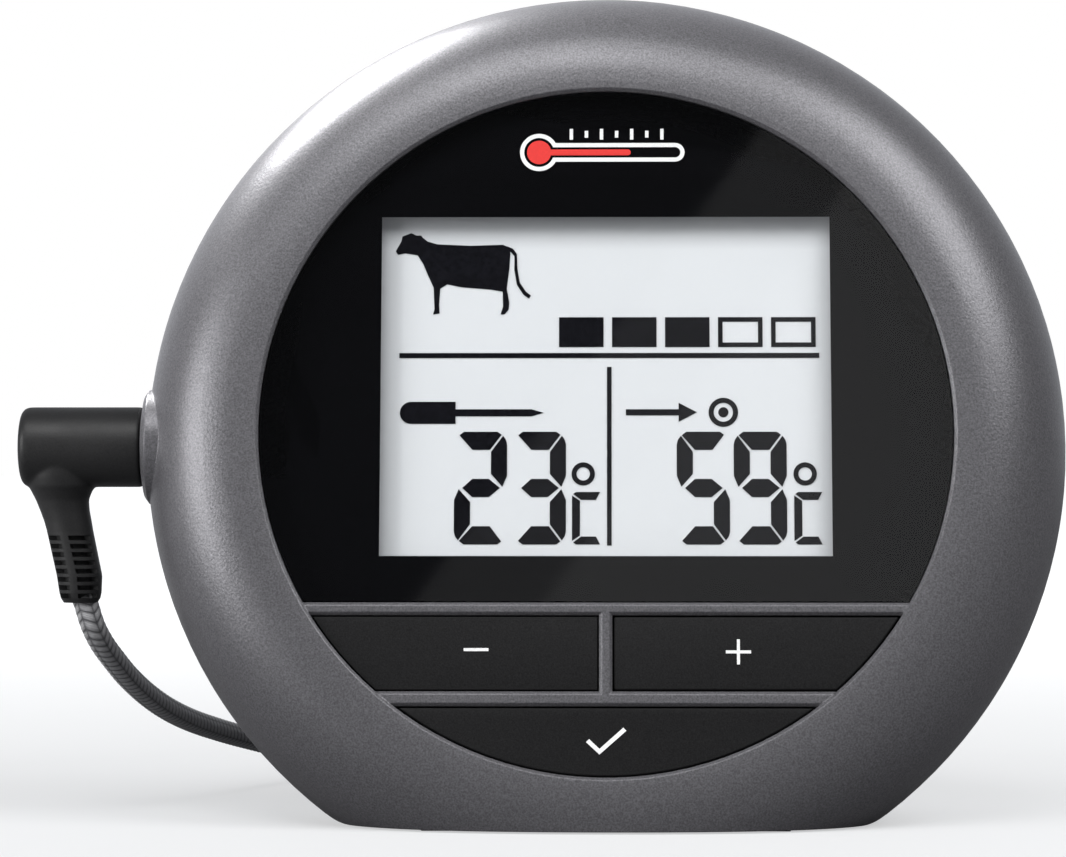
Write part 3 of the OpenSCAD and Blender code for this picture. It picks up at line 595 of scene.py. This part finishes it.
def coil_points():
    """The coil's turns, wound clockwise, one layer on another."""
    last = COIL_COLUMNS * COIL_LAYERS - 1
    turns = last + COIL_START / (2 * math.pi)
    steps = round(turns * TURN_POINTS)
    points = []
    for i in range(steps + 1):
        done = turns * i / steps
        angle = COIL_START - 2 * math.pi * done
        # Each turn keeps its column until its last part, where it moves to the next column or layer.
        whole = min(int(done), last)
        part = min(1, max(0, (done - whole - (1 - TURN_SHIFT)) / TURN_SHIFT))
        part = part * part * (3 - 2 * part)
        here, after = coil_spot(whole), coil_spot(min(whole + 1, last))
        radius = here[0] + (after[0] - here[0]) * part
        height = here[1] + (after[1] - here[1]) * part
        x = COIL_MID[0] + radius * math.cos(angle)
        y = COIL_MID[1] + radius * math.sin(angle)
        points.append((x, y, height))
    return points


BRAID_STEP = BRAID_PITCH * MM / 4
BRAID_SIDES = 20
BRAID_RELIEF = 0.05
ROUNDING = 1e-6
HIDDEN_STEPS = 4        # steps of the lead inside the plug's arm
HIDDEN_LEAN = 0.4       # how far they lean to the left as they rise


def braid_radius(step):
    """Gives the lead's radius at a ring and an angle, with its stitches raised."""
    def radius(i, angle):
        across = angle / (2 * math.pi) * BRAID_COLUMNS
        whole = int(across + ROUNDING)
        column = whole % BRAID_COLUMNS
        inside = across - whole
        way = 1 if column % 2 else -1
        phase = i * step / (BRAID_PITCH * MM) + way * BRAID_SLOPE * (inside - 0.5)
        stitch = abs(math.sin(math.pi * phase))
        return MM * (LEAD_D / 2 - BRAID_RELIEF * (1 - stitch))
    return radius


def make_lead(material):
    """The braided lead in one piece, from the plug's arm through the coil to the probe."""
    route = [Vector(p) * MM for p in [*LEAD_IN, *coil_points(), *LEAD_OUT]]
    line = spline_through(route, BRAID_STEP)
    inwards = (UP - ACROSS * HIDDEN_LEAN) * BRAID_STEP
    hidden = [line[0] + inwards * i for i in range(HIDDEN_STEPS, 0, -1)]
    radius = braid_radius(BRAID_STEP)
    data = tube_mesh("braided_lead", hidden + line, radius, BRAID_SIDES, BRAID_PITCH * MM)
    lead = add_object("braided_lead", data, material, "lead", 60)
    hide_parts("probe_lead", "lead_coil")
    length = sum((b - a).length for a, b in zip(line, line[1:]))
    return lead, line, length


# ---------------------------------------------------------------- plug

SLOT_START = 8.9     # the first slot, below the barrel's axis
SLOT_PITCH = 0.83
SLOT_COUNT = 8
SLOT_DEPTH = 0.75
SLOT_LEDGE = 0.04    # the height over which a slot's floor rises to the arm's skin
SLOT_SEAM = 0.1      # how far above the first slot the moulded part ends
SLOT_ANGLES = ((4, 58), (112, 158))
ARM_SIDES = 72
ARM_OVERLAP = 0.35   # how far the slotted part reaches up into the moulded one
BARREL_SIDES = 128
BARREL_LEFT = 5.85   # from the barrel's outer end to the middle that the arm is measured from
BARREL_RADIUS = 4.02
# The barrel's rounded outer end: place from that end, and radius.
BARREL_END = [(0, 0), (0, 2.8), (0.12, 3.45), (0.35, 3.8), (0.7, 3.98), (1.2, BARREL_RADIUS)]
SKIN_VOXEL = 0.14 * MM
SKIN_ROUNDS = 14
# The arm's outline: depth below the barrel's axis, sideways place from the barrel's middle, half width.
ARM_OUTLINE = [
    (1.2, -2.0, 3.55), (3.0, -1.9, 3.5), (3.9, -1.75, 3.36), (4.5, -1.78, 3.02),
    (5.3, -1.72, 2.66), (6.4, -1.45, 2.48), (7.5, -1.14, 2.38), (8.6, -0.9, 2.32),
    (12.9, 0.02, 2.28), (14.6, 0.12, 2.12), (15.3, 0.14, 1.95), (15.62, 0.14, 1.7),
]


def along_outline(depth):
    """The arm's place and half width at a depth, from its outline."""
    for low, high in zip(ARM_OUTLINE, ARM_OUTLINE[1:]):
        if depth <= high[0]:
            t = (depth - low[0]) / (high[0] - low[0])
            t = max(0, min(1, t))
            return tuple(a + (b - a) * t for a, b in zip(low[1:], high[1:]))
    return ARM_OUTLINE[-1][1:]


def slot_depths():
    """Pairs of depths, where each slot starts and ends."""
    return [(SLOT_START + i * SLOT_PITCH, SLOT_START + (i + 0.5) * SLOT_PITCH) for i in range(SLOT_COUNT)]


def in_slot(angle):
    """Whether an angle, from the side that faces the viewer, lies in a column of the arm's slots."""
    turned = math.degrees(angle) % 180
    return any(start <= turned <= end for start, end in SLOT_ANGLES)


def arm_ring(mesh, depth, slotted, middle_x):
    """A level section of the arm."""
    place, half = along_outline(depth)
    ring = []
    for k in range(ARM_SIDES):
        angle = 2 * math.pi * k / ARM_SIDES
        radius = half - (SLOT_DEPTH if slotted and in_slot(angle) else 0)
        x = middle_x + MM * (place + radius * math.sin(angle))
        ring.append(mesh.verts.new((x, CENTRE.y - MM * radius * math.cos(angle), CENTRE.z - MM * depth)))
    return ring


def join_rings(mesh, rings):
    """Walls between rings, and a cap at both ends."""
    for first, second in zip(rings, rings[1:]):
        close_ring(mesh, first, second)
    mesh.faces.new(list(reversed(rings[0])))
    mesh.faces.new(rings[-1])


def add_lathe(mesh, profile, sides):
    """Turns a profile of (x, radius) points round the barrel's axis."""
    rings = []
    for x, radius in profile:
        if radius == 0:
            rings.append([mesh.verts.new((x, CENTRE.y, CENTRE.z))])
            continue
        ring = []
        for k in range(sides):
            angle = 2 * math.pi * k / sides
            place = (x, CENTRE.y + radius * math.cos(angle), CENTRE.z + radius * math.sin(angle))
            ring.append(mesh.verts.new(place))
        rings.append(ring)
    for first, second in zip(rings, rings[1:]):
        for k in range(sides):
            after = (k + 1) % sides
            if len(first) == 1:
                mesh.faces.new((first[0], second[after], second[k]))
            elif len(second) == 1:
                mesh.faces.new((first[k], first[after], second[0]))
            else:
                mesh.faces.new((first[k], first[after], second[after], second[k]))


def melted(name, mesh, voxel, rounds):
    """One skin round the overlapping forms of a mesh, smoothed so that they flow into each other."""
    data = bpy.data.meshes.new(name)
    mesh.to_mesh(data)
    shape = bpy.data.objects.new(name, data)
    bpy.context.scene.collection.objects.link(shape)
    remesh = shape.modifiers.new("skin", "REMESH")
    remesh.mode = "VOXEL"
    remesh.voxel_size = voxel
    smooth = shape.modifiers.new("flow", "SMOOTH")
    smooth.factor = 0.5
    smooth.iterations = rounds
    bpy.context.view_layer.update()
    skin = bpy.data.meshes.new_from_object(shape.evaluated_get(bpy.context.evaluated_depsgraph_get()))
    bpy.data.objects.remove(shape)
    return skin


def make_plug(material):
    """The moulded plug: a barrel with a rounded end, and an arm with slots cut into it as a strain relief."""
    low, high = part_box("plug_body")
    middle_x = low.x + BARREL_LEFT * MM
    seam = SLOT_START - SLOT_SEAM
    upper = bmesh.new()
    depths = [d for d, _, _ in ARM_OUTLINE if d < seam] + [seam]
    join_rings(upper, [arm_ring(upper, depth, False, middle_x) for depth in depths])
    profile = [(low.x + x * MM, radius * MM) for x, radius in BARREL_END]
    profile += [(high.x - 0.1 * MM, BARREL_RADIUS * MM), (high.x, (BARREL_RADIUS - 0.12) * MM), (high.x, 0)]
    add_lathe(upper, profile, BARREL_SIDES)
    bmesh.ops.recalc_face_normals(upper, faces=upper.faces)
    skin = melted("plug_moulding", upper, SKIN_VOXEL, SKIN_ROUNDS)
    upper.free()
    whole = bmesh.new()
    whole.from_mesh(skin)
    stops = [(seam - ARM_OVERLAP, False)]
    stops += [(d, False) for d, _, _ in ARM_OUTLINE if d > SLOT_START + SLOT_COUNT * SLOT_PITCH]
    for start, end in slot_depths():
        stops += [(start - SLOT_LEDGE, False), (start, True), (end, True), (end + SLOT_LEDGE, False)]
    lower = bmesh.new()
    join_rings(lower, [arm_ring(lower, depth, slotted, middle_x) for depth, slotted in sorted(stops)])
    bmesh.ops.recalc_face_normals(lower, faces=lower.faces)
    part = bpy.data.meshes.new("plug_arm")
    lower.to_mesh(part)
    lower.free()
    whole.from_mesh(part)
    whole.to_mesh(skin)
    whole.free()
    bpy.data.meshes.remove(part)
    plug = add_object("plug_moulding", skin, material, "lead", 35)
    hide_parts("plug_body")
    return plug


# ---------------------------------------------------------------- marks on the face

def arc(x, y, radius, start, end, count=16):
    """Points along an arc, by angles in degrees."""
    angles = [math.radians(start + (end - start) * i / count) for i in range(count + 1)]
    return [(x + radius * math.cos(a), y + radius * math.sin(a)) for a in angles]


def bar(x, y, length, width):
    """Outline of a level bar about a point."""
    left, right = x - length / 2, x + length / 2
    low, high = y - width / 2, y + width / 2
    return [(left, low), (right, low), (right, high), (left, high)]


def cross(x, y, arm, half):
    """Outline of a plus sign about a point, by the reach and half the width of its strokes."""
    corners = [(arm, -half), (arm, half), (half, half)]
    outline = []
    for _ in range(4):
        outline += corners
        corners = [(-b, a) for a, b in corners]
    return [(x + a, y + b) for a, b in outline]


MARK_T = 0.04


def print_mark(name, outlines, depth, material, body):
    """A printed mark on the face. Outlines are in face millimetres, and a shape inside another is a hole."""
    curve = bpy.data.curves.new(name, "CURVE")
    curve.dimensions = "2D"
    curve.fill_mode = "BOTH"
    curve.extrude = MARK_T / 2
    for outline in outlines:
        spline = curve.splines.new("POLY")
        spline.points.add(len(outline) - 1)
        for point, (x, y) in zip(spline.points, outline):
            point.co = (x, y, 0, 1)
        spline.use_cyclic_u = True
    shape = bpy.data.objects.new(name, curve)
    data = bpy.data.meshes.new_from_object(shape)
    bpy.data.objects.remove(shape)
    bpy.data.curves.remove(curve)
    axes = Matrix((ACROSS, ALONG, OUT)).transposed().to_4x4()
    data.transform(Matrix.Translation(on_face(0, 0, depth + MARK_T / 2)) @ axes @ Matrix.Scale(MM, 4))
    mark = add_object(name, data, material, body)
    return mark


STROKE = 0.3
MINUS = (-12.55, -21.6)
MINUS_LENGTH = 2.4
PLUS = (12.84, -21.8)
PLUS_ARM = 1.22
# The check mark's corners on the lowest button.
CHECK = [(-1.9, -30.55), (-1.6, -30.25), (-0.6, -31.2), (1.7, -29.15), (2.0, -29.45), (-0.6, -31.75)]


def make_button_marks(white):
    """Minus, plus and a check mark, printed on the buttons."""
    top = depth_of("plus_button")
    print_mark("plus_mark", [cross(*PLUS, PLUS_ARM, STROKE / 2)], top, white, "plus")
    print_mark("minus_mark", [bar(*MINUS, MINUS_LENGTH, STROKE)], top, white, "minus")
    print_mark("check_mark", [CHECK], top, white, "set")


# The sign over the display: its middle, and the places and sizes of its bulb and tube.
SIGN = (0, 28.2)
SIGN_BULB = (SIGN[0] - 6.6, 1.9)
SIGN_TUBE = (SIGN[0] + 6.9, 0.95)
SIGN_WALL = 0.42
SIGN_GAP = 0.28
SIGN_STOUT = 0.05       # how much nearer the column comes to its tube than the ball to its bulb
SIGN_FILLED = SIGN[0] + 2.2
SIGN_LIFT = 0.02
TICK_COUNT = 7
TICK_PITCH = 1.5
TICK_FIRST = (SIGN[0] - 3.4, SIGN[1] + 1.85)
TICK_W = 0.34
TICK_LENGTHS = (1.1, 0.7)


def flask(bulb, tube, end_x):
    """Outline of a lying bulb with a round-ended tube, by their radii and where the tube ends."""
    opening = math.degrees(math.asin(tube / bulb))
    round_bulb = arc(SIGN_BULB[0], SIGN[1], bulb, opening, 360 - opening, 40)
    return round_bulb + arc(end_x, SIGN[1], tube, -90, 90)


def make_sign(white, red):
    """A lying thermometer with its scale, printed on the window in place of a name."""
    depth = depth_of("window_mask") + SIGN_LIFT
    end_x, tube = SIGN_TUBE
    bulb = SIGN_BULB[1]
    shell = flask(bulb, tube, end_x)
    hollow = flask(bulb - SIGN_WALL, tube - SIGN_WALL, end_x)
    ticks = []
    for i in range(TICK_COUNT):
        length = TICK_LENGTHS[i % 2]
        ticks.append(bar(TICK_FIRST[0] + TICK_PITCH * i, TICK_FIRST[1], TICK_W, length))
    print_mark("sign_outline", [shell, hollow, *ticks], depth, white, "housing")
    inset = SIGN_WALL + SIGN_GAP
    liquid = flask(bulb - inset, tube - inset + SIGN_STOUT, SIGN_FILLED)
    print_mark("sign_column", [liquid], depth, red, "housing")


# ---------------------------------------------------------------- springs and the coil's strap

SPRING_STEPS = 28       # points in a turn
SPRING_CLOSING = 0.55   # how much closer the end turns lie, from 0 to 1
WIRE_SIDES = 10
GUARD_WIRE = 0.25 * MM
GUARD_TURNS = 8
CELL_WIRE = 0.24 * MM
CELL_TURNS = 4
STRAP_TURN = 200        # degrees round the coil
STRAP_W = 4
STRAP_T = 0.4
STRAP_GAP = 0.1
STRAP_CORNER = 1.3
STRAP_CORNER_STEPS = 8
STUD_UP = 0.42          # the stud's height, as a part of the strap's
STUD_ROUND = 0.15       # how far the tab's and the stud's edges are rounded off
STUD_SUNK = 0.02        # how far they reach into the strap
# The tab and the stud: radius, height over the strap, and sides.
STUD_STEPS = ((1.72, 0.45, 40), (0.9, 0.85, 24))


def spring_line(start, axis, length, radius, turns):
    """Points of a coil spring along an axis; its turns close up towards both ends."""
    side = axis.cross(UP).normalized()
    up = axis.cross(side)
    steps = turns * SPRING_STEPS
    line = []
    for i in range(steps + 1):
        t = i / steps
        rise = t - SPRING_CLOSING * math.sin(2 * math.pi * t) / (2 * math.pi)
        angle = 2 * math.pi * turns * t
        line.append(start + axis * length * rise + radius * (math.cos(angle) * side + math.sin(angle) * up))
    return line


def make_probe_spring(material):
    """The spring that guards the lead where it enters the probe."""
    low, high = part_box("probe_spring")
    start = Vector((low.x + GUARD_WIRE, (low.y + high.y) / 2, (low.z + high.z) / 2))
    radius = (high.z - low.z) / 2 - GUARD_WIRE
    line = spring_line(start, ACROSS, high.x - low.x - 2 * GUARD_WIRE, radius, GUARD_TURNS)
    data = tube_mesh("guard_spring", line, lambda i, angle: GUARD_WIRE, WIRE_SIDES)
    spring = add_object("guard_spring", data, material, "lead", 60)
    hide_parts("probe_spring")
    return spring


def make_battery_springs(material):
    """The two springs that press on the cells, each between a contact plate and a cell."""
    for name, way in (("left_cell_spring", -1), ("right_cell_spring", 1)):
        points = [v.co for v in NODES["battery_springs"].data.vertices if v.co.x * way > 0]
        outer = max(points, key=lambda p: p.x * way).x - way * CELL_WIRE
        inner = min(points, key=lambda p: p.x * way).x + way * CELL_WIRE
        heights = [(p - CENTRE).dot(ALONG) for p in points]
        depths = [(p - CENTRE).dot(OUT) for p in points]
        up = (max(heights) + min(heights)) / 2
        out = (max(depths) + min(depths)) / 2
        radius = (max(heights) - min(heights)) / 2 - CELL_WIRE
        start = CENTRE + ALONG * up + OUT * out + ACROSS * (outer - CENTRE.x)
        line = spring_line(start, -way * ACROSS, abs(outer - inner), radius, CELL_TURNS)
        data = tube_mesh(name, line, lambda i, angle: CELL_WIRE, WIRE_SIDES)
        spring = add_object(name, data, material, "housing", 60)
        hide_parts("battery_springs")


def loop_points(half, low, high, corner, count):
    """A rounded rectangle, as places and outward directions in its own plane."""
    points = []
    corners = ((half, high, 0), (-half, high, 90), (-half, low, 180), (half, low, 270))
    for x, z, start in corners:
        middle_x = x - math.copysign(corner, x)
        middle_z = z - corner if z == high else z + corner
        for i in range(count + 1):
            angle = math.radians(start + 90 * i / count)
            away = (math.cos(angle), math.sin(angle))
            points.append(((middle_x + corner * away[0], middle_z + corner * away[1]), away))
    return points


def make_strap(material):
    """The soft strap round the coil, with rounded edges and a tab over a stud."""
    half = (COIL_PITCH * (COIL_COLUMNS - 1) + LEAD_D) / 2 + STRAP_GAP
    top = COIL_LOW + COIL_PITCH * (COIL_LAYERS - 1) + LEAD_D / 2 + STRAP_GAP
    low = COIL_LOW - LEAD_D / 2
    turn = math.radians(STRAP_TURN)
    away = Vector((math.cos(turn), math.sin(turn), 0))
    beside = Vector((-math.sin(turn), math.cos(turn), 0))
    centre = Vector((*COIL_MID, 0)) + away * (COIL_INNER + COIL_PITCH)
    edge = STRAP_T / 2
    width = STRAP_W / 2
    # The band's section, as places across the band and out of the loop.
    section = [
        (-width + edge, 0), (width - edge, 0), (width, edge),
        (width - edge, STRAP_T), (-width + edge, STRAP_T), (-width, edge),
    ]
    mesh = bmesh.new()
    rings = []
    for (x, z), (out_x, out_z) in loop_points(half, low, top, STRAP_CORNER, STRAP_CORNER_STEPS):
        base = centre + away * x + UP * z
        outward = away * out_x + UP * out_z
        rings.append([mesh.verts.new((base + beside * a + outward * b) * MM) for a, b in section])
    for first, second in zip(rings, rings[1:] + rings[:1]):
        close_ring(mesh, first, second)
    # The tab and the stud lie on the side of the strap that faces out of the coil.
    stud = centre + away * half + UP * top * STUD_UP
    for size, height, sides in STUD_STEPS:
        raised = STRAP_T + height
        rings = []
        sections = ((STRAP_T - STUD_SUNK, size), (raised - STUD_ROUND, size), (raised, size - STUD_ROUND))
        for out, radius in sections:
            ring = []
            for k in range(sides):
                angle = 2 * math.pi * k / sides
                spot = beside * radius * math.cos(angle) + UP * radius * math.sin(angle)
                ring.append(mesh.verts.new((stud + away * out + spot) * MM))
            rings.append(ring)
        join_rings(mesh, rings)
    bmesh.ops.recalc_face_normals(mesh, faces=mesh.faces)
    data = bpy.data.meshes.new("coil_strap")
    mesh.to_mesh(data)
    mesh.free()
    strap = add_object("coil_strap", data, material, "lead", 40)
    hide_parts("coil_tie")
    return strap


# ---------------------------------------------------------------- stage and lights

FLOOR_RADIUS = 40


def make_stage(material):
    """A wide pale floor."""
    mesh = bmesh.new()
    bmesh.ops.create_circle(mesh, cap_ends=True, segments=96, radius=FLOOR_RADIUS)
    data = bpy.data.meshes.new("floor")
    mesh.to_mesh(data)
    mesh.free()
    data.materials.append(material)
    floor = bpy.data.objects.new("floor", data)
    bpy.context.scene.collection.objects.link(floor)


def softbox(name, azimuth, elevation, distance, size, power):
    """A rectangular light that faces the ring's centre. Azimuth 0 is straight in front, 90 to the right."""
    turn, lift = math.radians(azimuth), math.radians(elevation)
    away = Vector((math.sin(turn) * math.cos(lift), -math.cos(turn) * math.cos(lift), math.sin(lift)))
    data = bpy.data.lights.new(name, "AREA")
    data.shape = "RECTANGLE"
    data.size, data.size_y = size
    data.energy = power
    light = bpy.data.objects.new(name, data)
    light.location = CENTRE + distance * away
    light.rotation_euler = away.to_track_quat("Z", "Y").to_euler()
    bpy.context.scene.collection.objects.link(light)
    return light


def light_only(light, *nodes):
    """Keeps a light to some nodes, so that it doesn't spill on to the floor."""
    lit = bpy.data.collections.new(light.name + "_receivers")
    for node in nodes:
        lit.objects.link(NODES[node])
    light.light_linking.receiver_collection = lit


# Softboxes: name, azimuth and elevation in degrees, distance and size in metres, and power in watts.
SOFTBOXES = (
    ("key_softbox", -14, 54, 1.0, (0.90, 0.60), 3.6),
    ("left_softbox", -64, 4, 0.8, (0.40, 0.60), 7),
    ("right_softbox", 54, 42, 0.8, (0.44, 0.50), 5),
)
RIM_SOFTBOX = ("rim_softbox", -132, 50, 0.6, (0.22, 0.12), 8)
# Cards whose slanting reflections lie across the window.
WINDOW_CARDS = (
    ("window_card", 6.9, 15.8, 1.2, (0.25, 0.40), 0.12),
    ("window_card_soft", 5.4, 17.2, 1.2, (0.25, 0.40), 0.12),
)
CARD_SLANT = math.radians(-38)
SUN_POWER = 0.9
SUN_SPREAD = math.radians(25)
SUN_TURN = (math.radians(38), 0, math.radians(-12))


def make_lights():
    """Soft studio light from the front, a highlight along the ring's upper left edge, and a soft sun."""
    for box in SOFTBOXES:
        softbox(*box)
    rim = softbox(*RIM_SOFTBOX)
    light_only(rim, "front_bezel", "rear_housing", "battery_door", "housing_screws")
    for card in WINDOW_CARDS:
        softbox(*card).rotation_euler.rotate_axis("Z", CARD_SLANT)
    sun = bpy.data.lights.new("sky", "SUN")
    sun.energy = SUN_POWER
    sun.angle = SUN_SPREAD
    lamp = bpy.data.objects.new("sky", sun)
    lamp.rotation_euler = SUN_TURN
    bpy.context.scene.collection.objects.link(lamp)


# The world's light, as a range of how far behind the object it comes from, and its strength over that range.
WORLD_LIGHT = {"From Min": 0.25, "From Max": 0.95, "To Min": 0.09, "To Max": 0.75}


def make_world():
    """White behind everything. As a light it is dim in front, so that black gloss stays black."""
    world = bpy.data.worlds.new("studio")
    world.use_nodes = True
    nodes, links = world.node_tree.nodes, world.node_tree.links
    shown = nodes["Background"]
    shown.inputs["Color"].default_value = (1, 1, 1, 1)
    shown.inputs["Strength"].default_value = 1.0
    dim = nodes.new("ShaderNodeBackground")
    dim.inputs["Color"].default_value = (0.92, 0.95, 1, 1)
    direction = nodes.new("ShaderNodeSeparateXYZ")
    links.new(nodes.new("ShaderNodeTexCoord").outputs["Generated"], direction.inputs[0])
    behind = nodes.new("ShaderNodeMapRange")
    for key, number in WORLD_LIGHT.items():
        behind.inputs[key].default_value = number
    links.new(direction.outputs["Y"], behind.inputs["Value"])
    links.new(behind.outputs[0], dim.inputs["Strength"])
    path = nodes.new("ShaderNodeLightPath")
    mix = nodes.new("ShaderNodeMixShader")
    links.new(path.outputs["Is Camera Ray"], mix.inputs["Fac"])
    links.new(dim.outputs[0], mix.inputs[1])
    links.new(shown.outputs[0], mix.inputs[2])
    links.new(mix.outputs[0], nodes["World Output"].inputs["Surface"])
    bpy.context.scene.world = world
    bpy.context.scene.view_settings.view_transform = "Standard"


# ---------------------------------------------------------------- assembly


def main():
    """The camera and the lead, then the finishes, the other pieces, the stage and the light."""
    make_camera()
    lead, line, length = make_lead(braid_grey())
    grey = painted_plastic()
    steel = bright_metal("probe_steel", (0.62, 0.62, 0.63), 0.3, (1, 0.1, 1))
    metal = bright_metal("contact_metal", (0.72, 0.71, 0.68), 0.3)
    brass = bright_metal("contact_brass", (0.75, 0.56, 0.28), 0.3)
    black = moulded_rubber("plug_black", (0.013, 0.013, 0.0135), 0.48)
    chip = moulded_rubber("chip_black", (0.02, 0.02, 0.02), 0.6)
    white = moulded_rubber("white_plastic", (0.72, 0.72, 0.70), 0.45, 0.4, 0.005)
    buttons = button_plastic()
    pads = moulded_rubber("pad_rubber", (0.02, 0.02, 0.02), 0.8, 0.3, 0.03)
    finishes = {
        "front_bezel": grey, "rear_housing": grey, "battery_door": grey,
        "housing_screws": metal, "board_screws": metal,
        "display_window": window_clear(), "window_mask": mask_black(), "lcd_panel": display_glass(),
        "lcd_segments": display_ink(), "lcd_frame": white, "light_guide": white, "backlight_led": white,
        "zebra_strip": chip, "switch_bodies": chip,
        "minus_plunger": white, "plus_plunger": white, "set_plunger": white,
        "main_board": circuit_board(), "controller_chip": chip, "crystal": metal, "capacitors": metal,
        "board_resistors": chip, "buzzer": chip, "jack_socket": chip, "jack_contacts": brass,
        "upper_cell": cell_sleeve(1), "lower_cell": cell_sleeve(-1),
        "battery_contacts": metal, "plug_sleeve": brass, "plug_insulator": chip, "plug_tip": brass,
        "probe_crimp": steel, "probe_needle": steel,
    }
    for name, material in finishes.items():
        NODES[name].data.materials.clear()
        NODES[name].data.materials.append(material)
    for name in ("minus", "plus", "set"):
        softened(name + "_button", name, buttons, BUTTON_EDGE)
    softened("foot_pads", "housing", pads, PAD_EDGE)
    plug = make_plug(black)
    make_button_marks(white_print("mark_white", (0.80, 0.80, 0.80)))
    make_sign(white_print("sign_white", (0.80, 0.80, 0.80)), white_print("sign_red", (0.70, 0.02, 0.015)))
    spring = make_probe_spring(steel)
    make_battery_springs(metal)
    tie = make_strap(black)
    make_stage(floor_white())
    make_lights()
    make_world()


main()
